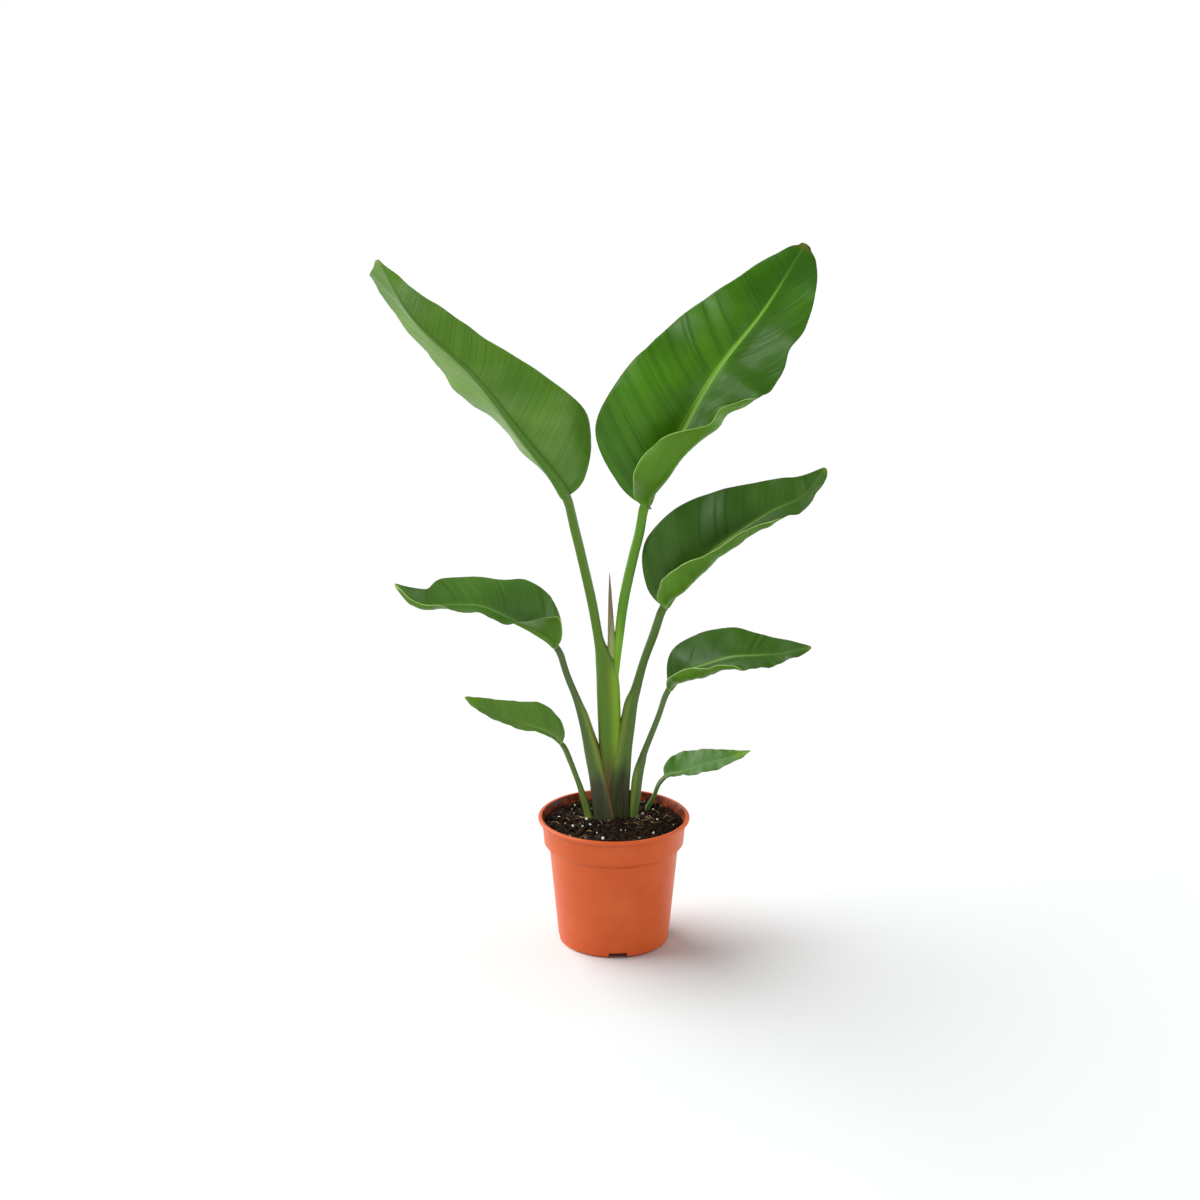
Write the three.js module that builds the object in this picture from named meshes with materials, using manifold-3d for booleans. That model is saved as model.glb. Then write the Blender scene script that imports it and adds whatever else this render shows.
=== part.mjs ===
// A young bird of paradise plant in a round nursery pot.
//
// Millimetres, +Z up. The origin is the middle of the pot's foot on the ground, and the
// viewer of the photograph stands on the -Y side, with +X to the right.
//
// Seven leaves rise from one crown. Each has a stalk, which widens below into a sheath that
// wraps the younger stalks inside it, and a blade, which is two curved halves on a midrib.
// The newest leaf is still rolled into a spear.

import * as THREE from "three";
import { mergeVertices } from "three/addons/utils/BufferGeometryUtils.js";
import Module from "manifold-3d";

const wasm = await Module();
wasm.setup();

const GAP = 0.3; // left between pieces that touch
const MERGE_DISTANCE = 1e-4; // points closer than this are one

// ---------------------------------------------------------------- driving dimensions: pot

const POT_SEGMENTS = 32;
const POT_HEIGHT = 120;
const WALL = 1.5;
const RIM_RADIUS = 70;
const RIM_THICKNESS = 3.4;
const RIM_DEPTH = 3.8;
const RIM_SOFTENING = 1; // the slope under the rim's bead
const COLLAR_TOP_RADIUS = 66.7;
const COLLAR_BOTTOM_RADIUS = 64.7;
const COLLAR_BOTTOM = 95.5;
const LEDGE_FOOT = 91; // where the body ends and slopes out to the collar
const LEDGE_LIFT = 0.7; // of the ledge's inside above its outside
const BODY_TOP_RADIUS = 59.8;
const FOOT_RADIUS = 51.4;
const FOOT_WIDTH = 2;
const FOOT_ROUNDING = 1.5;
const FLOOR_RISE = 4.5; // the underside is raised by this much between the pad and the foot
const PAD_RADIUS = 20; // the middle of the underside, which touches the ground
const POT_FLOOR = FLOOR_RISE + WALL;
const RIM_FOOT = POT_HEIGHT - RIM_DEPTH;

const NOTCHES = 4;
const NOTCH_TOP_WIDTH = 16;
const NOTCH_BOTTOM_WIDTH = 19;
const NOTCH_HEIGHT = 5;
const NOTCH_REACH = 12; // through the foot, from outside inwards
const NOTCH_TURN = THREE.MathUtils.degToRad(4); // from straight in front
const DRAIN_SEGMENTS = 10;
const DRAIN_RADIUS = 4;
const DRAIN_RING_RADIUS = 38;

// --------------------------------------------------------------- driving dimensions: soil

const SOIL_BOTTOM = 7;
const SOIL_EDGE = 112.2;
const SOIL_HEAP = [[42.5, 112.8], [23.6, 113.4], [0, 113.7]]; // radius and height, up to the crown

// -------------------------------------------------------------- driving dimensions: stalks

const STALK_SIDES = 12;
const STEPS_PER_ROW = 2;
const NECK_LENGTH = 10; // the end of a stalk, which bends halfway to its blade's midrib
const STALK_SQUARENESS = 2.2; // exponent of a section's outline: 2 is an ellipse
const SHEATH_SQUARENESS = 3.2;

// -------------------------------------------------------------- driving dimensions: blades

const BLADE_THICKNESS = 0.9;
const BLADE_ROWS = 16; // steps from base to tip
const HALF_STEPS = [0, 0.06, 0.2, 0.4, 0.6, 0.8, 1]; // steps from the midrib to the margin
const SMALL_BLADE_ROWS = 12;
const SMALL_HALF_STEPS = [0, 0.1, 0.4, 0.7, 1];
const OPENING = 0.12; // share of the rows over which a blade opens out of its stalk
const RIB_TIP_RADIUS = 0.5;
const RIB_TAPER = 1.6; // 1 is a straight taper, and more slims the rib sooner
const MARGIN_THINNING = 4; // the power by which a half thins to its margin

// The fold and curl of the halves that lie open.
const RELAXED = { fold: [20, 15, 10, 10, 10], curl: [-10, -10, -10, -10, -10] };

// Leaves 1 to 7, from the oldest and smallest to the youngest and tallest.
//
// midrib: points, equally spaced along the leaf, from base to tip.
// facing: the direction of the upper side, at equally spaced places.
// left, right: the two halves, seen from the upper side with the tip up.
//   width: across one half, flattened, at seven places from base to tip, at q = 1/8 ... 7/8,
//     where the distance along the leaf is (1 - cos(pi q)) / 2. It is zero at both ends.
//   fold, curl: degrees, at equally spaced places. A half leaves the midrib at the fold
//     angle towards the upper side, and turns by the curl angle on its way to the margin.
// rib: half the thickness of the midrib at the base.
// stalk: sections from the soil up: x, y, z, half the width and half the depth.
// sheath: how many of those sections, from the soil up, belong to the squarer sheath.
// wraps: the numbers of the younger leaves that the sheath or the foot of the stalk lies round.
// small: whether the blade is one of the two small ones, which take fewer steps.
const LEAVES = [
  {
    midrib: [[48, 30, 147], [64, 27, 152.6], [80.5, 23, 161], [101, 20, 168], [127, 20, 175.5]],
    facing: [[0, -0.5, 0.9], [0, -0.5, 0.9]],
    left: { width: [10, 19.5, 21, 18, 13, 6.5, 2], ...RELAXED },
    right: { width: [6, 10, 15, 18.5, 16.5, 10, 3], fold: [35, 32, 23, 18, 15], curl: [0, 0] },
    rib: 1.8,
    stalk: [[28, 30, 98, 2.6, 2.6], [31.2, 30, 113, 2.4, 2.4], [37.5, 30, 126, 2, 2]],
    sheath: 0,
    wraps: [],
    small: true,
  },
  {
    midrib: [
      [-48, 12, 186], [-63.4, 9, 198.4], [-82.5, 6, 206], [-101.5, 3, 214], [-120.5, 0, 224],
      [-135.8, -2, 234.3],
    ],
    facing: [[0.2, -0.6, 0.8], [0, -0.6, 0.8], [0, -0.6, 0.8], [0, -0.6, 0.8], [0, -0.6, 0.8]],
    left: { width: [9, 13.5, 16.5, 17.5, 15, 10, 4], fold: [55, 42, 37, 34, 30], curl: [0, 0] },
    right: { width: [9.5, 20, 25.5, 20.5, 14.5, 8, 3], ...RELAXED },
    rib: 2,
    stalk: [
      [-19.4, 9, 98, 4.3, 4.3], [-22.2, 9, 112, 4, 4], [-27.4, 9, 131, 3.3, 3.3],
      [-33.8, 10, 151, 2.5, 2.5],
    ],
    sheath: 0,
    wraps: [4],
    small: true,
  },
  {
    midrib: [
      [50, 16, 236], [66.7, 11, 255.3], [85.5, 7, 264], [107.7, 2, 271.5], [130.2, 0, 273.5],
      [153.4, -2, 276], [177.7, -4, 282],
    ],
    facing: [[-0.2, -1, 0.8], [0, -0.9, 0.8], [0, -0.8, 0.8], [0, -0.8, 0.8], [0, -0.8, 0.8]],
    left: { width: [6, 23, 30, 29, 21, 12.5, 4.5], ...RELAXED },
    right: {
      width: [12, 33, 39, 30, 17, 9.5, 4.5],
      fold: [36, 14, 2, 0, 4, 8, 8, 10, 10],
      curl: [130, 132, 120, 108, 66, 20, 5, 0, 0],
    },
    rib: 2.6,
    stalk: [
      [17, 14, 98, 3.8, 5], [18, 14, 112, 4.2, 5], [19.8, 13, 130, 4.7, 5], [22.5, 13, 154, 4.7, 4.8],
      [25.8, 13, 168, 3.9, 3.9], [29, 13, 179, 3, 3.1], [40, 14, 208, 2.7, 2.7],
    ],
    sheath: 4,
    wraps: [5],
    small: false,
  },
  {
    midrib: [
      [-52.4, 12, 278], [-73, 8, 294.5], [-96, 4, 307.2], [-120, 0, 319], [-144.5, -4, 321.5],
      [-170, -9, 323], [-195, -14, 343],
    ],
    facing: [[0.3, -0.9, 0.5], [0, -0.8, 0.6], [0, -0.7, 0.7], [0, -0.7, 0.7], [0, -0.7, 0.7]],
    left: {
      width: [16, 35, 37, 38, 34, 22, 12],
      fold: [95, 106, 77, 58, 50, 46, 38, 5, 0],
      curl: [8, 8, 6, 0, 0, 0, 40, 115, 120],
    },
    right: { width: [14.5, 33, 39.5, 30.5, 27.5, 14.5, 4], ...RELAXED },
    rib: 2.8,
    stalk: [
      [-7, 13, 98, 10.8, 13.5], [-8.6, 13, 115, 10.3, 13.5], [-12, 13, 136, 9.2, 13.2],
      [-15.6, 13, 156, 7.8, 12.6], [-19.7, 13, 176, 7.3, 11.4], [-24.2, 13, 195, 5.8, 9],
      [-29, 12, 213, 4.6, 6.4], [-35, 11, 231, 3.4, 4], [-42.4, 11, 250, 3.1, 3.2],
    ],
    sheath: 7,
    wraps: [5, 6, 7],
    small: false,
  },
  {
    midrib: [
      [45, 14, 315], [64.7, 10, 342], [86, 7, 367], [112, 6, 387], [140.5, 9, 404.5], [170, 14, 418],
      [189, 22, 441],
    ],
    facing: [[-0.2, -1, 0.3], [-0.1, -1, 0.4], [0, -1, 0.45], [0, -1, 0.4], [0, -1, 0.3]],
    left: { width: [24, 47.5, 51, 42, 27.5, 18.5, 6], ...RELAXED },
    right: {
      width: [22, 42, 44, 35, 21, 9.5, 6],
      fold: [48, 22, 25, 32, 32, 30, 30, 30, 30],
      curl: [170, 195, 150, 95, 80, 55, 15, 10, 0],
    },
    rib: 3.6,
    stalk: [
      [2.2, 14, 98, 11.4, 11.5], [3, 14, 120, 11.3, 11.5], [3.7, 14, 140, 11, 11.5],
      [6, 14, 161, 9.8, 11.3], [9, 14, 181, 8, 10.8], [12.8, 14, 204, 6.9, 9.6],
      [15.8, 13, 223, 6, 7.2], [20.3, 13, 238, 4.6, 5], [27.2, 13, 264, 3.8, 3.8],
      [35.4, 14, 287, 4, 3.9],
    ],
    sheath: 7,
    wraps: [6, 7],
    small: false,
  },
  {
    midrib: [[-43, 12, 417], [-83, 0, 475], [-122, -10, 527], [-171, -25, 577], [-196.3, -55, 628.3]],
    facing: [[0.1, 1, 0], [0, 1, 0.1], [0, 1, 0.1], [0, 1, 0.1], [0, 1, 0.1]],
    left: {
      width: [31, 58, 54, 39, 29, 14.5, 3.5],
      fold: [20, 20, 40, 45, 38],
      curl: [10, 10, 5, 0, 0],
    },
    right: {
      width: [15, 38, 45, 45, 34, 37.5, 13],
      fold: [60, 62, 52, 62, 52],
      curl: [10, 10, 0, 0, 0],
    },
    rib: 4.2,
    stalk: [
      [-1.5, 14, 98, 8.6, 9.2], [-2.2, 14, 125, 9.2, 9.4], [-3, 14, 151, 9.8, 9.5],
      [-3.8, 14, 190, 10.3, 9.6], [-5, 14, 227, 10.6, 9.6], [-6, 14, 248, 10.2, 9.2],
      [-8.6, 14, 265, 8.5, 7.8], [-13.8, 14, 284, 4.7, 5], [-20.2, 14, 320, 4.4, 4.5],
      [-30.1, 13, 365, 4.3, 4.3], [-35.6, 13, 388, 4.3, 4.3],
    ],
    sheath: 6,
    wraps: [7],
    small: false,
  },
  {
    midrib: [[27, 6, 410], [58, -6, 478], [90, 2, 532], [130, 12, 582], [168, 45, 637]],
    facing: [[-0.2, -1, 0.1], [0, -1, 0.2], [0, -1, 0.3], [0, -1, 0.3], [0, -1, 0.1]],
    left: {
      width: [31, 68, 70, 58, 44, 28.5, 11.5],
      fold: [20, 15, 10, 10, 10],
      curl: [-20, -20, -20, -20, -30],
    },
    right: {
      width: [30, 63, 65, 52, 44, 32.5, 16.5],
      fold: [44, 31, 27, 27, 19, 16, 27, 15, 16, 4, 6, 10, 12, 14, 16, 16, 15],
      curl: [180, 180, 182, 176, 162, 112, 60, 30, 16, 4, 4, 5, 5, 4, 3, 2, 0],
    },
    rib: 4.2,
    stalk: [
      [-1, 15, 98, 3.6, 3.6], [-1.5, 15, 150, 3.7, 3.7], [-1, 15, 220, 3.8, 3.8],
      [0.4, 15, 248, 3.9, 4], [4.2, 14, 284, 4.2, 4.3], [8.8, 12, 322, 4.6, 4.5],
      [16.6, 11, 360, 4.5, 4.5], [22, 11, 382, 4.4, 4.4],
    ],
    sheath: 0,
    wraps: [],
    small: false,
  },
];

// The rolled new leaf: x, y, z, half the width and half the depth, from its hidden end up.
const SPEAR = [
  [-8, 14, 160, 2, 2], [-7.6, 14, 200, 2.3, 2.3], [-6, 14, 235, 3.3, 3], [-2.4, 13, 275, 3.6, 3.2],
  [-2.8, 13, 300, 2.8, 2.7], [-3.5, 14, 322, 1.8, 1.7], [-4.2, 15, 346, 0.3, 0.3],
];

// ----------------------------------------------------------------------------- materials

const PLASTIC = { color: 0xc8623a, roughness: 0.45, metalness: 0 };
const PEAT = { color: 0x2b1d14, roughness: 0.95, metalness: 0 };
const BLADE_GREEN = { color: 0x2c6a1c, roughness: 0.4, metalness: 0 };
const STALK_GREEN = { color: 0x5d8a3a, roughness: 0.5, metalness: 0 };
const SPEAR_GREEN = { color: 0x7a8a4c, roughness: 0.5, metalness: 0 };

// -------------------------------------------------------------------- curves and solids

/** A smooth value at s, 0 to 1, through equally spaced values. */
function smooth(values, s) {
  const last = values.length - 1;
  const place = THREE.MathUtils.clamp(s, 0, 1) * last;
  const i = Math.min(Math.floor(place), last - 1);
  const t = place - i;
  const b = values[i];
  const c = values[i + 1];
  const a = i > 0 ? values[i - 1] : 2 * b - c;
  const d = i + 2 <= last ? values[i + 2] : 2 * c - b;
  return b + 0.5 * t * (c - a + t * (2 * a - 5 * b + 4 * c - d + t * (3 * (b - c) + d - a)));
}

/** The smooth point at s through equally spaced points. */
function smoothPoint(points, s) {
  const [x, y, z] = [0, 1, 2].map((axis) => smooth(points.map((point) => point[axis]), s));
  return new THREE.Vector3(x, y, z);
}

/** The direction of travel at s along the smooth curve through the points. */
function tangent(points, s) {
  const step = 1e-3;
  const ahead = smoothPoint(points, Math.min(s + step, 1));
  return ahead.sub(smoothPoint(points, Math.max(s - step, 0))).normalize();
}

/** A closed solid from rings of points, with a flat fan at each end. */
function skin(rings) {
  const sides = rings[0].length;
  const points = rings.flat();
  const faces = [];
  for (let r = 0; r + 1 < rings.length; r += 1) {
    for (let k = 0; k < sides; k += 1) {
      const a = r * sides + k;
      const b = r * sides + ((k + 1) % sides);
      const c = b + sides;
      const d = a + sides;
      // the shorter diagonal, so that the two sides of a thin bent sheet fold along the same lines
      if (points[a].distanceTo(points[c]) < points[b].distanceTo(points[d])) {
        faces.push(a, b, c, a, c, d);
      } else {
        faces.push(a, b, d, b, c, d);
      }
    }
  }
  const first = points.push(middle(rings[0])) - 1;
  const last = points.push(middle(rings.at(-1))) - 1;
  const start = (rings.length - 1) * sides;
  for (let k = 0; k < sides; k += 1) {
    const next = (k + 1) % sides;
    faces.push(first, next, k);
    faces.push(last, start + k, start + next);
  }
  const geometry = new THREE.BufferGeometry().setFromPoints(points);
  geometry.setIndex(faces);
  return geometry;
}

/** The mean of a ring's points. */
function middle(ring) {
  const sum = ring.reduce((total, point) => total.add(point), new THREE.Vector3());
  return sum.divideScalar(ring.length);
}

/** A solid for joining and cutting, from a closed geometry. */
function toSolid(geometry) {
  const bare = geometry.clone();
  bare.deleteAttribute("normal");
  bare.deleteAttribute("uv");
  const merged = mergeVertices(bare, MERGE_DISTANCE);
  return new wasm.Manifold(
    new wasm.Mesh({
      numProp: 3,
      vertProperties: merged.attributes.position.array,
      triVerts: new Uint32Array(merged.index.array),
    }),
  );
}

/** The geometry of a solid. */
function toGeometry(solid) {
  const mesh = solid.getMesh();
  const geometry = new THREE.BufferGeometry();
  geometry.setAttribute("position", new THREE.BufferAttribute(mesh.vertProperties, 3));
  geometry.setIndex(new THREE.BufferAttribute(mesh.triVerts, 1));
  geometry.computeVertexNormals();
  return geometry;
}

/** A solid of revolution about +Z from a list of [radius, height] points. */
function turned(profile) {
  const points = profile.map(([radius, height]) => new THREE.Vector2(radius, height));
  return new THREE.LatheGeometry(points, POT_SEGMENTS).rotateX(Math.PI / 2);
}

/** A named mesh with its material. */
function piece(name, geometry, finish) {
  const mesh = new THREE.Mesh(geometry, new THREE.MeshStandardMaterial(finish));
  mesh.name = name;
  return mesh;
}

// -------------------------------------------------------------------------- pot and soil

/** The radius of the pot's body outside, at a height. */
function bodyRadius(height) {
  return THREE.MathUtils.lerp(FOOT_RADIUS, BODY_TOP_RADIUS, height / LEDGE_FOOT);
}

/** The radius of the collar outside, at a height. */
function collarRadius(height) {
  const share = (height - COLLAR_BOTTOM) / (POT_HEIGHT - COLLAR_BOTTOM);
  return THREE.MathUtils.lerp(COLLAR_BOTTOM_RADIUS, COLLAR_TOP_RADIUS, share);
}

/** The pot before its notches and drain holes, as one closed profile. */
function potBody() {
  const padSlope = FLOOR_RISE / 2;
  return turned([
    [0, 0],
    [PAD_RADIUS, 0],
    [PAD_RADIUS + padSlope, FLOOR_RISE],
    [FOOT_RADIUS - FOOT_WIDTH - padSlope, FLOOR_RISE],
    [FOOT_RADIUS - FOOT_WIDTH, 0],
    [FOOT_RADIUS - FOOT_ROUNDING, 0],
    [bodyRadius(FOOT_ROUNDING), FOOT_ROUNDING],
    [BODY_TOP_RADIUS, LEDGE_FOOT],
    [COLLAR_BOTTOM_RADIUS, COLLAR_BOTTOM],
    [collarRadius(RIM_FOOT - RIM_SOFTENING), RIM_FOOT - RIM_SOFTENING],
    [RIM_RADIUS, RIM_FOOT + RIM_SOFTENING],
    [RIM_RADIUS, POT_HEIGHT],
    [RIM_RADIUS - RIM_THICKNESS, POT_HEIGHT],
    [collarRadius(RIM_FOOT) - WALL, RIM_FOOT],
    [COLLAR_BOTTOM_RADIUS - WALL, COLLAR_BOTTOM + LEDGE_LIFT],
    [BODY_TOP_RADIUS - WALL, LEDGE_FOOT + LEDGE_LIFT],
    [bodyRadius(POT_FLOOR) - WALL, POT_FLOOR],
    [PAD_RADIUS + padSlope - WALL, POT_FLOOR],
    [PAD_RADIUS - WALL, WALL],
    [0, WALL],
  ]);
}

/** One notch's cutter: a trapezium that opens downwards, reaching out through the foot. */
function notchCutter(turn) {
  const outline = new THREE.Shape([
    new THREE.Vector2(-NOTCH_BOTTOM_WIDTH / 2, -1),
    new THREE.Vector2(NOTCH_BOTTOM_WIDTH / 2, -1),
    new THREE.Vector2(NOTCH_TOP_WIDTH / 2, NOTCH_HEIGHT),
    new THREE.Vector2(-NOTCH_TOP_WIDTH / 2, NOTCH_HEIGHT),
  ]);
  const cutter = new THREE.ExtrudeGeometry(outline, { depth: NOTCH_REACH, bevelEnabled: false });
  cutter.rotateX(Math.PI / 2);
  cutter.translate(0, NOTCH_REACH / 2 - FOOT_RADIUS, 0);
  return cutter.rotateZ(turn);
}

/** One drain hole's cutter, upright through the raised floor. */
function drainCutter(turn) {
  const cutter = new THREE.CylinderGeometry(DRAIN_RADIUS, DRAIN_RADIUS, POT_FLOOR * 2, DRAIN_SEGMENTS);
  cutter.rotateX(Math.PI / 2);
  cutter.translate(0, -DRAIN_RING_RADIUS, POT_FLOOR);
  return cutter.rotateZ(turn);
}

/** The pot, with notches round its foot and a drain hole behind each. */
function makePot() {
  let solid = toSolid(potBody());
  for (let i = 0; i < NOTCHES; i += 1) {
    const turn = NOTCH_TURN + (i * 2 * Math.PI) / NOTCHES;
    solid = solid.subtract(toSolid(notchCutter(turn)));
    solid = solid.subtract(toSolid(drainCutter(turn)));
  }
  return toGeometry(solid);
}

/** The soil, which fills the pot and is heaped a little round the crown. */
function makeSoil(sockets) {
  const inside = (radius) => radius - WALL - GAP;
  const block = turned([
    [0, SOIL_BOTTOM],
    [inside(bodyRadius(SOIL_BOTTOM)), SOIL_BOTTOM],
    [inside(BODY_TOP_RADIUS), LEDGE_FOOT + LEDGE_LIFT + GAP],
    [inside(COLLAR_BOTTOM_RADIUS), COLLAR_BOTTOM + LEDGE_LIFT + GAP],
    [inside(collarRadius(SOIL_EDGE)), SOIL_EDGE],
    ...SOIL_HEAP,
  ]);
  return toGeometry(sockets.reduce((solid, socket) => solid.subtract(socket), toSolid(block)));
}

// ------------------------------------------------------------------------ stalks, sheaths

/** A closed tube through sections of x, y, z, half width and half depth. */
function tube(sections, sheathRows, grow) {
  const steps = (sections.length - 1) * STEPS_PER_ROW;
  const rings = [];
  for (let i = 0; i <= steps; i += 1) {
    const s = i / steps;
    const along = tangent(sections, s);
    const side = new THREE.Vector3(along.z, 0, -along.x).normalize();
    const depth = new THREE.Vector3().crossVectors(along, side);
    const centre = smoothPoint(sections, s);
    if (i === 0) centre.addScaledVector(along, -grow);
    if (i === steps) centre.addScaledVector(along, grow);
    const halfWidth = smooth(sections.map((row) => row[3]), s) + grow;
    const halfDepth = smooth(sections.map((row) => row[4]), s) + grow;
    const sheathed = s * (sections.length - 1) < sheathRows;
    const power = 2 / (sheathed ? SHEATH_SQUARENESS : STALK_SQUARENESS);
    rings.push(ringOf(centre, side, depth, halfWidth, halfDepth, power));
  }
  return toSolid(skin(rings));
}

/** A ring of points, between an ellipse and a rounded box, across a tube. */
function ringOf(centre, side, depth, halfWidth, halfDepth, power) {
  const ring = [];
  for (let k = 0; k < STALK_SIDES; k += 1) {
    const angle = (2 * Math.PI * k) / STALK_SIDES;
    const across = Math.sign(Math.cos(angle)) * Math.abs(Math.cos(angle)) ** power;
    const back = Math.sign(Math.sin(angle)) * Math.abs(Math.sin(angle)) ** power;
    ring.push(
      centre
        .clone()
        .addScaledVector(side, across * halfWidth)
        .addScaledVector(depth, back * halfDepth),
    );
  }
  return ring;
}

/** The stalk's sections with a bent neck that meets the blade's base end to end. */
function stalkSections(leaf) {
  const { root, along } = spine(leaf, 0);
  const up = facingAt(leaf, 0, along);
  const end = root.addScaledVector(up, -leaf.rib);
  const last = leaf.stalk.at(-1);
  const arrival = end.clone().sub(new THREE.Vector3(...last)).normalize().add(along).normalize();
  // the two meet at an angle, so the stalk's edge reaches ahead of its middle
  end.addScaledVector(along, -GAP - leaf.rib * Math.sin(arrival.angleTo(along)));
  const neck = end.clone().addScaledVector(arrival, -NECK_LENGTH);
  return [...leaf.stalk, [...neck, last[3], last[4]], [...end, leaf.rib, leaf.rib]];
}

// --------------------------------------------------------------------------------- blades

/** A blade's midrib at s: its point and its direction, which at the base leans to the stalk's. */
function spine(leaf, s) {
  const [base, next] = leaf.midrib.map((point) => new THREE.Vector3(...point));
  const stalkEnd = new THREE.Vector3(...leaf.stalk.at(-1));
  const lead = base.clone().addScaledVector(base.clone().sub(stalkEnd).normalize(), -base.distanceTo(next));
  const points = [lead.toArray(), ...leaf.midrib];
  const place = (1 + s * (leaf.midrib.length - 1)) / leaf.midrib.length;
  return { root: smoothPoint(points, place), along: tangent(points, place) };
}

/** The direction of a blade's upper side at s, square to the midrib. */
function facingAt(leaf, s, along) {
  const up = smoothPoint(leaf.facing, s);
  return up.addScaledVector(along, -up.dot(along)).normalize();
}

/** A section of one half: for each step out from the midrib, a point and the upward normal. */
function halfSection(leaf, half, sign, q, steps) {
  const s = lengthShare(q);
  const { root, along } = spine(leaf, s);
  const up = facingAt(leaf, s, along);
  const across = new THREE.Vector3().crossVectors(along, up).multiplyScalar(sign);
  const open = THREE.MathUtils.smoothstep(q, 0, OPENING);
  const rib = ribRadius(leaf, s);
  const width = Math.max(smooth([0, ...half.width, 0], q), rib);
  const fold = open * THREE.MathUtils.degToRad(smooth(half.fold, s));
  const curl = open * THREE.MathUtils.degToRad(smooth(half.curl, s));
  return steps.map((t) => {
    const distance = width * t;
    const lean = fold + (curl * t) / 2; // of the straight line from the midrib to the point
    const bend = (curl * t) / 2;
    const reach = bend === 0 ? distance : (distance * Math.sin(bend)) / bend;
    // the rib hangs straight down from the midrib, and the sheet beside it square to itself
    const angle = (fold + curl * t) * Math.min(1, distance / rib);
    return {
      point: root
        .clone()
        .addScaledVector(across, reach * Math.cos(lean))
        .addScaledVector(up, reach * Math.sin(lean)),
      normal: up
        .clone()
        .multiplyScalar(Math.cos(angle))
        .addScaledVector(across, -Math.sin(angle)),
      distance,
    };
  });
}

/** The share of a blade's length at q, from 0 to 1: rows lie closer at both ends. */
function lengthShare(q) {
  return (1 - Math.cos(Math.PI * q)) / 2;
}

/** Half the midrib's thickness at s. */
function ribRadius(leaf, s) {
  return RIB_TIP_RADIUS + (leaf.rib - RIB_TIP_RADIUS) * (1 - s) ** RIB_TAPER;
}

/** How far the underside lies below the upper side: a thin sheet with a rib along its middle. */
function depthBelow(leaf, q, t, distance) {
  const rib = ribRadius(leaf, lengthShare(q));
  const bulge = Math.sqrt(Math.max(0, 1 - (distance / rib) ** 2));
  return Math.max(BLADE_THICKNESS * (1 - t ** MARGIN_THINNING), 2 * rib * bulge);
}

/** One blade: rings round the sheet, from the base to a small end at the tip. */
function makeBlade(leaf) {
  const rows = leaf.small ? SMALL_BLADE_ROWS : BLADE_ROWS;
  const steps = leaf.small ? SMALL_HALF_STEPS : HALF_STEPS;
  const rings = [];
  for (let i = 0; i <= rows; i += 1) {
    const q = i / rows;
    const left = halfSection(leaf, leaf.left, -1, q, steps);
    const right = halfSection(leaf, leaf.right, 1, q, steps);
    const lowered = (sample, k) =>
      sample.point.clone().addScaledVector(sample.normal, -depthBelow(leaf, q, steps[k], sample.distance));
    const top = [...left.slice(1).reverse(), ...right].map((sample) => sample.point);
    const rightBelow = right.slice(1, -1).map((sample, k) => lowered(sample, k + 1));
    const leftBelow = left.slice(0, -1).map((sample, k) => lowered(sample, k));
    rings.push([...top, ...rightBelow.reverse(), ...leftBelow]);
  }
  return skin(rings);
}

// ------------------------------------------------------------------------------- assembly

/** The stalks from leaf 1 to 7, each cut clear of the younger ones that its sheath wraps. */
function makeStalks() {
  const sections = LEAVES.map(stalkSections);
  const grown = LEAVES.map((leaf, i) => tube(sections[i], leaf.sheath, GAP));
  const grownSpear = tube(SPEAR, 0, GAP);
  const stalks = LEAVES.map((leaf, i) => {
    let solid = tube(sections[i], leaf.sheath, 0);
    leaf.wraps.forEach((inner) => {
      solid = solid.subtract(grown[inner - 1]);
    });
    return solid.subtract(grownSpear);
  });
  return { stalks, sockets: grown };
}

const plant = new THREE.Group();
const { stalks, sockets } = makeStalks();

plant.add(piece("pot", makePot(), PLASTIC));
plant.add(piece("soil", makeSoil(sockets), PEAT));
stalks.forEach((stalk, i) => plant.add(piece(`stalk_${i + 1}`, toGeometry(stalk), STALK_GREEN)));
LEAVES.forEach((leaf, i) => plant.add(piece(`blade_${i + 1}`, makeBlade(leaf), BLADE_GREEN)));
plant.add(piece("spear_leaf", toGeometry(tube(SPEAR, 0, 0)), SPEAR_GREEN));

export default plant;
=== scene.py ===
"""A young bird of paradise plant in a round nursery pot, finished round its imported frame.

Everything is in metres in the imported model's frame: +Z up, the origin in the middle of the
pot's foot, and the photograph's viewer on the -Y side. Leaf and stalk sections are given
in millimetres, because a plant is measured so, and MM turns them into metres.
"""

import logging
import math
from collections.abc import Callable
from dataclasses import dataclass, field, replace
from enum import Enum

import bmesh
import bpy
import numpy as np
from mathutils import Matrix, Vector, noise


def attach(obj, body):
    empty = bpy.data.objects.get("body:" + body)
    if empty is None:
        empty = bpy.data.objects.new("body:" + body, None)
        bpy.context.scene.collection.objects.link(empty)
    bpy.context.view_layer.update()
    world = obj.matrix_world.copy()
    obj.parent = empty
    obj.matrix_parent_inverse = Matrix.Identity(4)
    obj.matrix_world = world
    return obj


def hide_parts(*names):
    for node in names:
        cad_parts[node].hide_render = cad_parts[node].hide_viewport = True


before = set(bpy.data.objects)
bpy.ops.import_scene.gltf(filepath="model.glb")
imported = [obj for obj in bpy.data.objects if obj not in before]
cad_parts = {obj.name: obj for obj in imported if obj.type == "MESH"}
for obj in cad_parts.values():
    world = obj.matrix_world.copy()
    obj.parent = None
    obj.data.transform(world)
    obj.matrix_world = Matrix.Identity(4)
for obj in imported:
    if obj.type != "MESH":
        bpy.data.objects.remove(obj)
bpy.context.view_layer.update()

LOG = logging.getLogger("plant")
MM = 0.001
TURN = 2 * math.pi

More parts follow.
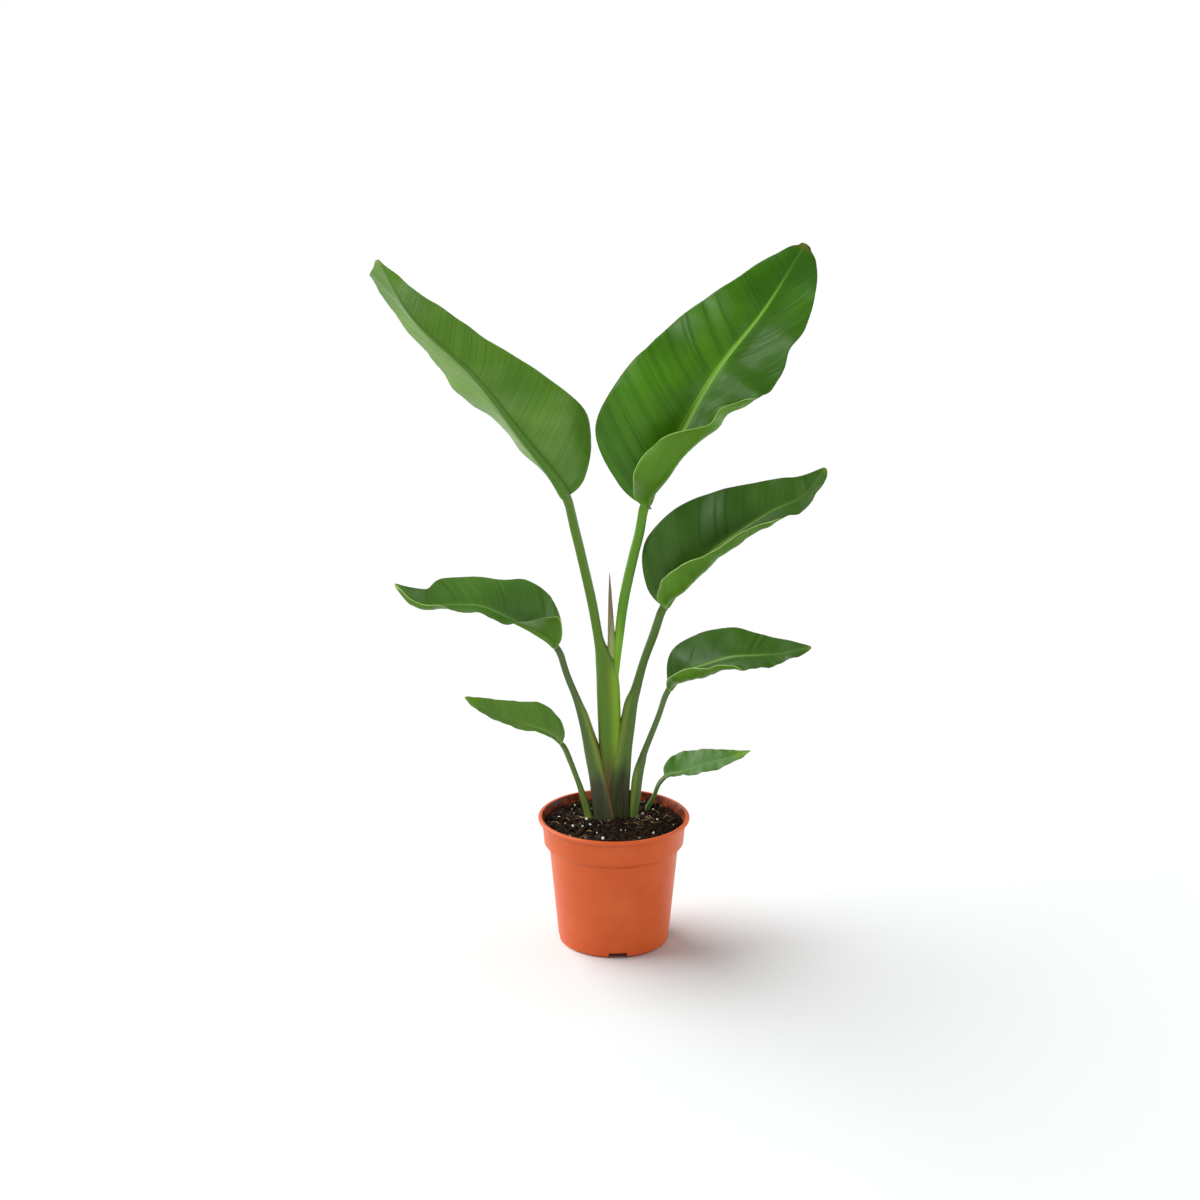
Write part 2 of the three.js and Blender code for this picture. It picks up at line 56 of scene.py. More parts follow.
Array = np.ndarray
Colour = tuple[float, float, float]
Row = tuple[float, ...]
Notes = dict[str, Array]
Piece = bpy.types.Object
Look = bpy.types.Material
Socket = bpy.types.NodeSocket


def srgb(red: int, green: int, blue: int) -> Colour:
    """A linear colour from 8-bit display values."""
    shares = [value / 255 for value in (red, green, blue)]
    return tuple(s / 12.92 if s < 0.04045 else ((s + 0.055) / 1.055) ** 2.4 for s in shares)


def unit(vectors: Array) -> Array:
    """The vectors at length one."""
    return vectors / np.linalg.norm(vectors, axis=-1, keepdims=True)


def smoothstep(values: Array, low: float, high: float) -> Array:
    """A smooth rise from 0 at low to 1 at high."""
    share = np.clip((values - low) / (high - low), 0, 1)
    return share * share * (3 - 2 * share)


def bell(values: Array, breadth: float) -> Array:
    """A smooth bump of height 1 where the values are 0."""
    return np.exp(-((values / breadth) ** 2))


def circle(sides: int) -> Array:
    """The angles of the points of a ring."""
    return np.linspace(0, TURN, sides, endpoint=False)


def through(values: Array, share: Array) -> Array:
    """Smooth values through equally spaced ones.

    Args:
        values: the given values, or points, from share 0 to share 1.
        share: where to read the smooth curve.

    Returns:
        One value or point for each share.
    """
    values, share = np.asarray(values, float), np.asarray(share, float)
    spans = len(values) - 1
    place = np.clip(share, 0, 1) * spans
    index = np.minimum(place.astype(int), spans - 1)
    t = place - index
    if values.ndim > 1:
        t = t[..., None]
    padded = np.concatenate([2 * values[:1] - values[1:2], values, 2 * values[-1:] - values[-2:-1]])
    a, b, c, d = (padded[index + step] for step in range(4))
    return b + 0.5 * t * (c - a + t * (2 * a - 5 * b + 4 * c - d + t * (3 * (b - c) + d - a)))


def spun(points: Array, angle: float) -> Array:
    """Turns points about the upright axis.

    Args:
        points: the points, one a row.
        angle: how far they turn.

    Returns:
        The turned points.
    """
    x, y, z = points.T
    turn, rise = math.cos(angle), math.sin(angle)
    return np.stack([x * turn - y * rise, x * rise + y * turn, z], axis=1)


# ------------------------------------------------------------------------------ finishes


class Recipe:
    """The node graph of one material, whose tone is laid down coat by coat.

    Noise scales are in features per metre, or per step of the number that lines follow.
    """

    def __init__(self, name: str, tone: Colour, roughness: float, specular: float = 0.5) -> None:
        """Starts a material.

        Args:
            name: the material's name.
            tone: the colour under all coats.
            roughness: of the whole surface, where done is given no gloss.
            specular: the strength of the reflections.
        """
        self.material = bpy.data.materials.new(name)
        self.material.use_nodes = True
        self.tree = self.material.node_tree
        self.shader = self.tree.nodes["Principled BSDF"].inputs
        self.shader["Roughness"].default_value = roughness
        self.shader["Specular IOR Level"].default_value = specular
        self.tone: Colour | Socket = tone

    def feed(self, target: Socket, source: object) -> None:
        """Links a socket, or sets a number or a colour.

        Args:
            target: the input that is fed.
            source: a socket, a number, a stretch or a colour.
        """
        if isinstance(source, Socket):
            self.tree.links.new(source, target)
        elif isinstance(source, tuple) and target.type == "RGBA":
            target.default_value = (*source, 1.0)
        else:
            target.default_value = source

    def node(
        self, kind: str, feeds: dict[int | str, object], output: int | str = 0, **settings: object
    ) -> Socket:
        """Adds a node.

        Args:
            kind: the node's type.
            feeds: what each input is fed, by its index or name.
            output: the index or name of the output that is wanted.
            settings: the node's own settings.

        Returns:
            That output.
        """
        made = self.tree.nodes.new(kind)
        for key, value in settings.items():
            setattr(made, key, value)
        for key, source in feeds.items():
            self.feed(made.inputs[key], source)
        return made.outputs[output]

    def attribute(self, name: str) -> Socket:
        """A point attribute of the piece, as a number."""
        return self.node("ShaderNodeAttribute", {}, "Fac", attribute_name=name)

    def place(self, stretch: Row = (1, 1, 1)) -> Socket:
        """Object coordinates, stretched."""
        object_place = self.node("ShaderNodeTexCoord", {}, "Object")
        return self.node("ShaderNodeMapping", {"Vector": object_place, "Scale": stretch})

    def chart(self, stretch: Row) -> Socket:
        """The piece's own UV map, stretched."""
        map_place = self.node("ShaderNodeUVMap", {}, uv_map="UVMap")
        return self.node("ShaderNodeMapping", {"Vector": map_place, "Scale": stretch})

    def noise(
        self, scale: float, detail: float = 3, where: Socket | None = None, rough: float = 0.5
    ) -> Socket:
        """Soft noise from 0 to 1 over object coordinates, or over the place given."""
        feeds = {"Vector": where or self.place(), "Scale": scale, "Detail": detail, "Roughness": rough}
        return self.node("ShaderNodeTexNoise", feeds)

    def lines(self, value: Socket, scale: float, detail: float) -> Socket:
        """Irregular parallel lines where a number changes."""
        feeds = {"W": value, "Scale": scale, "Detail": detail}
        return self.node("ShaderNodeTexNoise", feeds, noise_dimensions="1D")

    def band(self, value: Socket, low: float, high: float, off: float = 0, on: float = 1) -> Socket:
        """A smooth step.

        Args:
            value: the number that it follows.
            low: where it starts, which may be above high.
            high: where it ends.
            off: its value up to low.
            on: its value from high.

        Returns:
            The step.
        """
        if low > high:
            low, high, off, on = high, low, on, off
        feeds = dict(enumerate((value, low, high, off, on)))
        return self.node("ShaderNodeMapRange", feeds, interpolation_type="SMOOTHSTEP")

    def scaled(self, value: Socket, low: float, high: float) -> Socket:
        """A number from 0 to 1, turned into one from low to high."""
        return self.node("ShaderNodeMapRange", {0: value, 3: low, 4: high})

    def plus(self, first: Socket, second: Socket) -> Socket:
        """The sum of two numbers."""
        return self.node("ShaderNodeMath", {0: first, 1: second}, operation="ADD")

    def times(self, first: Socket, second: Socket) -> Socket:
        """The product of two numbers."""
        return self.node("ShaderNodeMath", {0: first, 1: second}, operation="MULTIPLY")

    def blend(self, mask: Socket, off: Colour | Socket, on: Colour | Socket) -> Socket:
        """A colour that is off where the mask is 0 and on where it is 1."""
        return self.node("ShaderNodeMix", {0: mask, 6: off, 7: on}, 2, data_type="RGBA")

    def coat(self, mask: Socket, colour: Colour | Socket) -> None:
        """Lays a colour over the tone where the mask is 1."""
        self.tone = self.blend(mask, self.tone, colour)

    def relief(self, height: Socket, distance: float, strength: float) -> None:
        """Adds fine relief to the shader."""
        feeds = {"Height": height, "Distance": distance, "Strength": strength}
        self.feed(self.shader["Normal"], self.node("ShaderNodeBump", feeds))

    def done(self, gloss: Socket | None = None) -> Look:
        """Feeds the shader.

        Args:
            gloss: the roughness, where it varies.

        Returns:
            The material.
        """
        self.feed(self.shader["Base Color"], self.tone)
        if gloss:
            self.feed(self.shader["Roughness"], gloss)
        return self.material


BLADE_NOTES = ("rib", "edge", "vein", "crease", "reach", "half")
STALK_NOTES = ("wing", "sheath", "rise")


@dataclass(frozen=True)
class BladeFinish:
    """One side of a leaf blade.

    right, where given, is painted light over the blade's right half, away from the midrib and short
    of the tip: a painted sheen where it is lighter, painted shade where it is darker. young is
    the colour of its tip, where it differs. crease is painted shade in the pleats' creases, also
    laid on the fine vein lines, which are partly the leaf's own veins.
    """

    leaf: Colour
    shade: Colour
    rib: Colour
    margin: Colour
    # painted shade for the creases and the fine vein lines
    crease: Colour
    tip: Colour
    roughness: float
    specular: float = 0.28
    crease_shade_depth: float = 0.6
    rib_edge: float = 1.1
    rib_fade: tuple[float, float] = (0.8, 1.0)
    margin_width: float = 0.6
    right: Colour | None = None
    young: Colour | None = None
    vein_depth: float = 0.35
    relief: float = 0.00022

    def dress(self, name: str) -> Look:
        """Makes the material.

        Args:
            name: the material's name.

        Returns:
            A material that follows the blade's veins, midrib and margin.
        """
        recipe = Recipe(name, self.leaf, self.roughness, self.specular)
        rib, edge, vein, crease, reach, half = map(recipe.attribute, BLADE_NOTES)
        recipe.coat(recipe.band(recipe.noise(14), 0.3, 0.75), self.shade)
        recipe.coat(recipe.band(recipe.lines(vein, 0.09, 2), 0.4, 0.75, on=0.45), self.shade)
        # Painted light on the right half, away from the midrib and short of the tip: PALE_UNDER lays a
        # painted sheen there, YOUNG_UPPER painted shade.
        if self.right:
            inner = recipe.band(rib, 1.5, 8, 0.35, 0.9)
            side = recipe.times(half, recipe.band(reach, 0.9, 0.7))
            recipe.coat(recipe.times(side, inner), self.right)
        if self.young:
            recipe.coat(recipe.band(reach, 0.78, 0.93, on=0.85), self.young)
        # Fine vein lines in the crease colour: partly the leaf's own veins, partly painted shade in their
        # fine grooves.
        recipe.coat(recipe.band(recipe.lines(vein, 0.55, 6), 0.42, 0.68, on=self.vein_depth), self.crease)
        # Painted shade in the pleats' creases, broken up by noise.
        crease_shade = recipe.band(recipe.noise(22, 2), 0.3, 0.6, 0.25, self.crease_shade_depth)
        recipe.coat(recipe.times(crease, crease_shade), self.crease)
        recipe.coat(recipe.band(rib, 3.5, 1.0, on=0.15), self.rib)
        ridge = recipe.band(rib, self.rib_edge + 0.25, self.rib_edge - 0.1)
        streak = recipe.blend(recipe.scaled(recipe.noise(420, 2), 0, 0.35), self.rib, self.leaf)
        recipe.coat(recipe.times(ridge, recipe.band(reach, *self.rib_fade, 1, 0)), streak)
        recipe.coat(recipe.band(edge, self.margin_width, self.margin_width * 0.3), self.margin)
        recipe.coat(recipe.times(recipe.band(reach, 0.965, 1.0), recipe.noise(160)), self.tip)
        grain = recipe.scaled(recipe.noise(500, 2), 0, 0.3)
        recipe.relief(recipe.plus(recipe.lines(vein, 0.7, 5), grain), self.relief, 0.3)
        return recipe.done(recipe.scaled(recipe.noise(60, 4), self.roughness - 0.06, self.roughness + 0.1))


@dataclass(frozen=True)
class StalkFinish:
    """A stalk: its petiole above, the paler wing and dry margin of its sheath, and its foot."""

    petiole: Colour
    wing: Colour
    margin: Colour
    foot: Colour
    foot_top: float
    foot_fade: float = 0.035
    wander: float = 0.03
    dry_from: float = 0.215
    dry_to: float = 0.175
    roughness: float = 0.42
    relief: float = 0.0003

    def dress(self, name: str) -> Look:
        """Makes the material.

        Args:
            name: the material's name.

        Returns:
            A material with lengthwise fibres, shaded from the foot to the neck.
        """
        recipe = Recipe(name, self.petiole, self.roughness, 0.28)
        wing, sheath, rise = map(recipe.attribute, STALK_NOTES)
        fibre = recipe.noise(1, 4, recipe.chart((70, 5, 1)), 0.6)
        patch = recipe.noise(1, 3, recipe.chart((6, 5, 1)), 0.55)
        recipe.coat(recipe.scaled(fibre, 0, 0.35), self.foot)
        side = recipe.times(recipe.band(wing, -0.2, 0.75), sheath)
        recipe.coat(recipe.scaled(side, 0, 0.9), self.wing)
        wander = recipe.scaled(patch, -self.wander, self.wander)
        low = recipe.band(recipe.plus(rise, wander), self.foot_top, self.foot_top - self.foot_fade)
        recipe.coat(recipe.times(low, recipe.band(fibre, 0.3, 0.7, 0.6, 1)), self.foot)
        ragged = recipe.plus(recipe.plus(wing, wander), recipe.scaled(low, 0, 0.12))
        rim = recipe.times(recipe.band(ragged, 0.84, 0.92), recipe.band(sheath, 0.1, 0.5))
        dry = recipe.band(rise, self.dry_from, self.dry_to)
        recipe.coat(rim, recipe.blend(dry, self.wing, self.margin))
        recipe.relief(fibre, self.relief, 0.45)
        return recipe.done(recipe.scaled(patch, self.roughness - 0.06, self.roughness + 0.12))


# ----------------------------------------------------------------------------- workbench


class Workbench:
    """Short names for the modelling steps that the sub-assemblies share."""

    MERGE = 1e-7

    @staticmethod
    def clear() -> None:
        """Goes to object mode with nothing selected."""
        if bpy.context.object and bpy.context.object.mode != "OBJECT":
            bpy.ops.object.mode_set(mode="OBJECT")
        bpy.ops.object.select_all(action="DESELECT")

    @staticmethod
    def hold(*things: Piece) -> None:
        """Selects only these objects.

        Args:
            things: the objects, of which the first becomes active.
        """
        Workbench.clear()
        for thing in things:
            thing.select_set(True)
        bpy.context.view_layer.objects.active = things[0]

    @staticmethod
    def named(name: str) -> Piece:
        """Renames the active object.

        Args:
            name: its new name.

        Returns:
            The object.
        """
        made = bpy.context.active_object
        made.name = made.data.name = name
        return made

    @staticmethod
    def started(add: Callable, name: str, place: Row = (0, 0, 0), **sizes: float) -> Piece:
        """A new primitive, alone in the selection.

        Args:
            add: the operator that adds it.
            name: its name.
            place: where it stands.
            sizes: what the operator is given.

        Returns:
            The object.
        """
        Workbench.clear()
        add(location=place, **sizes)
        return Workbench.named(name)

    @staticmethod
    def points(thing: Piece) -> Array:
        """Where the vertices are."""
        return np.array([vertex.co for vertex in thing.data.vertices])

    @staticmethod
    def shape(thing: Piece, points: Array) -> None:
        """Moves each vertex to its point."""
        thing.data.vertices.foreach_set("co", np.ascontiguousarray(points, float).ravel())
        thing.data.update()

    @staticmethod
    def grid(name: str, columns: int, rows: int) -> tuple[Piece, Array, Array]:
        """A flat grid with a UV map.

        Args:
            name: its name.
            columns: how many cells it has along X.
            rows: how many cells it has along Y.

        Returns:
            The object, and the column and the row of each of its vertices.
        """
        cuts = {"x_subdivisions": columns, "y_subdivisions": rows}
        thing = Workbench.started(bpy.ops.mesh.primitive_grid_add, name, size=1, **cuts)
        cells = (Workbench.points(thing)[:, :2] + 0.5) * (columns, rows)
        return thing, *np.rint(cells).astype(int).T

    @staticmethod
    def open_border(thing: Piece) -> None:
        """Merges what coincides and selects the border of what is open, in edit mode.

        Args:
            thing: the piece.
        """
        Workbench.hold(thing)
        bpy.ops.object.mode_set(mode="EDIT")
        bpy.ops.mesh.select_all(action="SELECT")
        bpy.ops.mesh.remove_doubles(threshold=Workbench.MERGE)
        bpy.ops.mesh.select_all(action="DESELECT")
        bpy.ops.mesh.select_mode(type="EDGE")
        bpy.ops.mesh.select_non_manifold(extend=False)

    @staticmethod
    def seal() -> None:
        """Caps the selected border, turns all faces outwards and smooths them."""
        bpy.ops.mesh.edge_face_add()
        bpy.ops.mesh.select_all(action="SELECT")
        bpy.ops.mesh.normals_make_consistent(inside=False)
        bpy.ops.object.mode_set(mode="OBJECT")
        bpy.ops.object.shade_smooth()

    @staticmethod
    def rolled(
        name: str, rings: Array, notes: Notes | None = None, looks: list[int] | None = None
    ) -> Piece:
        """A closed skin from rings of points.

        Args:
            name: the piece's name.
            rings: points, as rows of rings, in metres.
            notes: numbers for each point, kept as attributes for the finish to read.
            looks: the material index of each step round the ring.

        Returns:
            The piece, made from a grid that is rolled up, merged and capped.
        """
        rows, sides = rings.shape[0] - 1, rings.shape[1]
        thing, column, row = Workbench.grid(name, sides, rows)
        Workbench.shape(thing, rings[row, column % sides])
        for key, values in (notes or {}).items():
            made = thing.data.attributes.new(key, "FLOAT", "POINT")
            made.data.foreach_set("value", np.ascontiguousarray(values[row, column % sides], float))
        if looks:
            thing.data.polygons.foreach_set("material_index", np.tile(looks, rows).astype(np.int32))
        Workbench.open_border(thing)
        Workbench.seal()
        return thing

    @staticmethod
    def applied(thing: Piece, kind: str, **settings: object) -> None:
        """Adds a modifier and applies it.

        Args:
            thing: the piece.
            kind: the modifier's type.
            settings: the modifier's settings.
        """
        Workbench.hold(thing)
        made = thing.modifiers.new(kind.title(), kind)
        for key, value in settings.items():
            setattr(made, key, value)
        bpy.ops.object.modifier_apply(modifier=made.name)

    @staticmethod
    def finished(thing: Piece, slot: str, looks: list[Look], *nodes: str) -> Piece:
        """Dresses a piece and lets it ride on the plant.

        Args:
            thing: the piece.
            slot: not used.
            looks: its materials.
            nodes: the CAD nodes that it stands for.

        Returns:
            The piece.
        """
        for look in looks:
            thing.data.materials.append(look)
        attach(thing, "root")
        if nodes:
            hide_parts(*nodes)
        LOG.info("%s: %d faces", thing.name, len(thing.data.polygons))
        return thing


# -------------------------------------------------------------------------------- leaves


class Side(Enum):
    """The half of a blade, seen from its upper side with the tip up."""

    LEFT = -1
    RIGHT = 1


@dataclass(frozen=True)
class Half:
    """One half of a blade.

    width holds the flattened width in mm at seven places from base to tip. fold and curl, in
    degrees at equal steps from base to tip, say how the half leaves the midrib and turns on
    its way to the margin, and hem how much further its outer part turns. slope is how far a
    vein runs towards the tip for each step away from the midrib. wave is the height in mm of
    the margin's waves, waves how many there are and phase where they start. bites are shallow
    dents in the margin: the share of the length, the depth and the breadth in mm.
    """

    width: Row
    fold: Row = (20, 15, 10, 10, 10)
    curl: Row = (-10, -10)
    hem: Row = (0, 0)
    slope: float = 0.45
    wave: float = 1.0
    waves: float = 4.0
    phase: float = 0.0
    bites: tuple[Row, ...] = ()


@dataclass(frozen=True)
class Leaf:
    """One leaf: its midrib, the way its upper side faces, its halves and its stalk, in mm.

    A stalk's row holds its middle, half its width and half its depth. sheath counts the rows
    that the sheath reaches, and inward is the side on which it wraps the younger stalks.
    """

    number: int
    midrib: tuple[Row, ...]
    facing: tuple[Row, ...]
    left: Half
    right: Half
    rib: float
    stalk: tuple[Row, ...]
    sheath: int = 0
    inward: Side = Side.RIGHT

    def half(self, side: Side) -> Half:
        """The left or the right half."""
        return self.left if side is Side.LEFT else self.right


class Spine:
    """A blade's midrib curve, which at the base leans to the direction of the stalk."""

    STEP = 0.001
    SAMPLES = 200

    def __init__(self, leaf: Leaf) -> None:
        """Finds the curve's points.

        Args:
            leaf: the leaf, in mm.
        """
        self.leaf = leaf
        midrib = np.array(leaf.midrib, float)
        self.last = np.array(leaf.stalk[-1][:3], float)
        arrival = unit(midrib[0] - self.last)
        lead = midrib[0] - arrival * np.linalg.norm(midrib[1] - midrib[0])
        self.points = np.vstack([lead, midrib])
        self.spans = len(midrib) - 1
        steps = np.diff(self.root(np.linspace(0, 1, self.SAMPLES)), axis=0)
        self.length = float(np.linalg.norm(steps, axis=1).sum())

    def root(self, share: Array) -> Array:
        """The point at a share of the length."""
        return through(self.points, (1 + np.asarray(share) * self.spans) / (1 + self.spans))

    def arrival(self, end: Array) -> Array:
        """The direction in which the stalk arrives at its end, between its own and the midrib's."""
        return unit(self.along(np.zeros(1))[0] + unit(end - self.last))

    def along(self, share: Array) -> Array:
        """The direction of growth."""
        ahead = np.minimum(share + self.STEP, 1)
        return unit(self.root(ahead) - self.root(share - self.STEP))

    def up(self, share: Array) -> Array:
        """The direction of the upper side.

        Args:
            share: the places, as shares of the length.

        Returns:
            Directions square to the midrib.
        """
        along = self.along(share)
        facing = through(self.leaf.facing, share)
        return unit(facing - along * (facing * along).sum(-1, keepdims=True))


class Pleats:
    """The creases that run from a midrib to the margin, at uneven steps."""

    START = -90
    SPARE = 120

    def __init__(self, seed: int, length: float, step: float) -> None:
        """Draws the creases.

        Args:
            seed: for the random draws.
            length: of the midrib, in mm.
            step: the mean distance between two creases, in mm.
        """
        draw = np.random.default_rng(seed)
        count = int((length + self.SPARE) / step)
        self.at = self.START + np.cumsum(draw.uniform(0.3, 1.7, count) * step)
        self.depth = draw.uniform(0.2, 1.0, count) ** 1.5
        self.breadth = draw.uniform(0.7, 1.3, count)

    def crease(self, vein: Array) -> Array:
        """How deep in a crease each place is, from 0 to 1."""
        creases = zip(self.at, self.depth, self.breadth)
        return np.clip(sum(depth * bell(vein - at, breadth) for at, depth, breadth in creases), 0, 1)

    def height(self, vein: Array) -> Array:
        """How far the surface rises: each strip rises slowly and drops at its crease.

        Args:
            vein: the vein on which each place lies.

        Returns:
            Heights for pleats of height 1.
        """
        index = np.clip(np.searchsorted(self.at, vein) - 1, 0, len(self.at) - 2)
        share = (vein - self.at[index]) / (self.at[index + 1] - self.at[index])
        rise = share * (1 - smoothstep(share, 0.82, 1.0))
        return self.depth[index + 1] * (rise - 0.35)


@dataclass
class LeafBlade:
    """A blade: two thin halves with pleats and waves on a midrib that stands out below."""

    leaf: Leaf
    upper: BladeFinish
    under: BladeFinish
    rows: int = 300
    columns: int = 30
    rib_columns: int = 7
    opening: float = 0.12
    thickness: float = 0.6
    margin_thickness: float = 0.26
    rib_tip: float = 0.5
    rib_taper: float = 1.6
    pleat_height: float = 0.7
    pleat_step: float = 13.0
    hem_start: float = 0.7
    vein_bend: float = 0.35
    row_lean: float = 0.85
    swells: Row = (31, 47, 68)
    swell_height: float = 0.3
    groove: float = 0.16
    tail_steps: tuple[Row, ...] = ((4.0, 0.4), (2.0, 0.72), (0.8, 0.92))
    spine: Spine = field(init=False)

    def __post_init__(self) -> None:
        """Finds the midrib."""
        self.spine = Spine(self.leaf)

    def rib_radius(self, share: Array) -> Array:
        """Half the midrib's thickness, in mm."""
        return self.rib_tip + (self.leaf.rib - self.rib_tip) * (1 - share) ** self.rib_taper

    def width(self, half: Half, q: Array, share: Array) -> Array:
        """The flattened width of a half.

        Args:
            half: which half.
            q: the places, in steps that are closer near the base and the tip.
            share: the same places as shares of the length.

        Returns:
            Widths in mm.
        """
        width = through([0, *half.width, 0], q)
        for at, depth, breadth in half.bites:
            width = width - depth * bell((share - at) * self.spine.length, breadth)
        return np.maximum(width, self.rib_radius(share))

    @staticmethod
    def arc(start: Array, rate: Array, run: Array, width: Array) -> tuple[Array, Array]:
        """How far an arc goes.

        Args:
            start: its first angle.
            rate: its turn over a whole width.
            run: its own length.
            width: the width.

        Returns:
            How far it goes across and up.
        """
        bend = rate * run / width / 2
        chord = run * np.sinc(bend / np.pi)
        return chord * np.cos(start + bend), chord * np.sin(start + bend)

    def laid_flat(self, side: Side) -> Notes:
        """Lays out the rows and columns of one half.

        Args:
            side: which half.

        Returns:
            For each row and column: its place q and its reach along the blade, the width and
            the midrib's radius there, its distance from the midrib in mm and as a share t, and
            vein, which is the same all along a vein.
        """
        half, length = self.leaf.half(side), self.spine.length
        q0 = np.linspace(0, 1, self.rows + 1)[:, None]
        u = np.linspace(0, 1, self.columns + 1)[None, :]
        share0 = (1 - np.cos(np.pi * q0)) / 2
        # rows follow the veins in the middle of the blade
        lean = smoothstep(q0, 0.03, 0.2) * (1 - smoothstep(q0, 0.72, 0.97))
        run = half.slope * self.width(half, q0, share0) * u * (1 + self.vein_bend * u)
        share = np.minimum(share0 + self.row_lean * lean * run / length, 1)
        q = np.arccos(1 - 2 * share) / np.pi
        width, rib = self.width(half, q, share), self.rib_radius(share)
        band = np.minimum(1.2 * rib, 0.6 * width)
        near = self.rib_columns / self.columns
        distance = np.where(u < near, band * u / near, band + (width - band) * (u - near) / (1 - near))
        t = distance / width
        vein = share * length - half.slope * distance * (1 + self.vein_bend * t)
        flat = {"q": q, "reach": share, "width": width, "radius": rib, "distance": distance, "t": t}
        return flat | {"vein": vein, "rib": distance / rib, "edge": width - distance}

    def lifted(self, side: Side, flat: Notes) -> tuple[Array, Array]:
        """The pleats, the margin's waves, broad swells and the groove over the midrib.

        Args:
            side: which half.
            flat: its rows and columns.

        Returns:
            How far the surface rises in mm, and how deep in a crease each place is.
        """
        half, share, distance, rib = self.leaf.half(side), flat["reach"], flat["distance"], flat["radius"]
        seed = self.leaf.number * 10 + side.value
        pleats = Pleats(seed, self.spine.length, self.pleat_step)
        away = smoothstep(distance, rib, rib + 9)
        ends = smoothstep(share, 0.01, 0.12) * (1 - smoothstep(share, 0.9, 1.0))
        lift = self.pleat_height * pleats.height(flat["vein"]) * away * ends
        beat = TURN * (share * half.waves + half.phase)
        lift += half.wave * flat["t"] ** 2.2 * (np.sin(beat) + 0.45 * np.sin(2.3 * beat + 1.7)) * ends
        draw = np.random.default_rng(seed)
        for size in self.swells:
            heading, phase = draw.uniform(0, TURN, 2)
            way = share * self.spine.length * np.cos(heading) + distance * np.sin(heading)
            lift += self.swell_height * np.sin(TURN * way / size + phase) * away * ends
        groove = bell(distance, 0.55 * rib) - 0.5 * bell(distance - rib, 0.3 * rib)
        lift -= self.groove * rib * groove * (1 - share)
        return lift, pleats.crease(flat["vein"]) * away * ends

    def sheet(self, side: Side) -> tuple[Array, Array, Notes]:
        """Both surfaces of one half.

        Args:
            side: which half.

        Returns:
            The points of the upper and of the lower surface, by row and column, and the
            numbers that the finish reads.
        """
        half, flat = self.leaf.half(side), self.laid_flat(side)
        wanted = ("reach", "distance", "width", "radius", "t")
        share, distance, width, rib, t = (flat[key] for key in wanted)
        root, along, up = self.spine.root(share), self.spine.along(share), self.spine.up(share)
        across = np.cross(along, up) * side.value
        opened = smoothstep(flat["q"], 0, self.opening)
        turns = (half.fold, half.curl, half.hem)
        fold, curl, hem = (np.radians(through(row, share)) * opened for row in turns)
        inner = np.minimum(t, self.hem_start)
        outer = t - inner
        hemmed = curl + hem / (1 - self.hem_start)
        over, high = self.arc(fold, curl, inner * width, width)
        over_hem, high_hem = self.arc(fold + curl * inner, hemmed, outer * width, width)
        angle = fold + curl * inner + hemmed * outer
        hang = angle * np.minimum(1, distance / rib)
        normal, below = (up * np.cos(a)[..., None] - across * np.sin(a)[..., None] for a in (angle, hang))
        lift, crease = self.lifted(side, flat)
        point = root + across * (over + over_hem)[..., None] + up * (high + high_hem)[..., None]
        point += normal * lift[..., None]
        bulge = np.sqrt(np.clip(1 - (distance / rib) ** 2, 0, None))
        thin = self.thickness + (self.margin_thickness - self.thickness) * t**3
        depth = np.maximum(thin, 2 * rib * bulge)
        notes = flat | {"crease": crease, "half": np.full_like(share, side is Side.RIGHT)}
        return point, point - below * depth[..., None], notes

    @staticmethod
    def ringed(upper: list[Array], lower: list[Array], rims: list[Array], centre: Array) -> Array:
        """Puts the values of both halves in the order of a ring.

        Args:
            upper: the left and the right half's values on the upper side.
            lower: the same on the lower side.
            rims: the values at the left and the right margin.
            centre: the values in the middle of the lower side.

        Returns:
            Rows of rings, from the left margin over the upper side and back below.
        """
        above = [rims[0], upper[0][:, ::-1], upper[1][:, 1:], rims[1]]
        return np.concatenate([*above, lower[1][:, :0:-1], centre, lower[0][:, 1:]], axis=1)

    def rings(self) -> tuple[Array, Notes]:
        """The blade as rings round its two halves.

        Returns:
            The rings' points in mm and the numbers for each point.
        """
        upper, lower, read = zip(*(self.sheet(side) for side in Side))
        outward = 0.5 * self.margin_thickness
        rims = []
        for top, bottom in zip(upper, lower):
            rims.append((top[:, -1:] + bottom[:, -1:]) / 2 + outward * unit(top[:, -1:] - top[:, -2:-1]))
        points = self.ringed(upper, lower, rims, (lower[0][:, :1] + lower[1][:, :1]) / 2)
        notes = {}
        for key in BLADE_NOTES:
            values = [half[key] for half in read]
            notes[key] = self.ringed(values, values, [value[:, -1:] for value in values], values[0][:, :1])
        return points, notes

    def tail(self, ring: Array) -> Array:
        """Rings that run back into the stalk from the blade's base.

        Args:
            ring: the blade's first ring.

        Returns:
            The rings, from the innermost.
        """
        start = np.zeros(1)
        centre = self.spine.root(start)[0] - self.spine.up(start)[0] * self.leaf.rib
        back = self.spine.arrival(centre)
        return np.stack([centre + (ring - centre) * size - back * step for step, size in self.tail_steps])

    def build(self) -> Piece:
        """Makes the blade.

        Returns:
            The finished piece.
        """
        points, notes = self.rings()
        tail = self.tail(points[0])
        for key, values in notes.items():
            notes[key] = np.concatenate([values[:1]] * len(tail) + [values])
        points = np.concatenate([tail, points])
        half_ring = 2 * self.columns + 2
        name = f"leaf_blade_{self.leaf.number}"
        blade = Workbench.rolled(name, points * MM, notes, [0] * half_ring + [1] * half_ring)
        looks = [self.upper.dress(f"{name}_upper"), self.under.dress(f"{name}_under")]
        return Workbench.finished(blade, "blade_green", looks, f"blade_{self.leaf.number}")


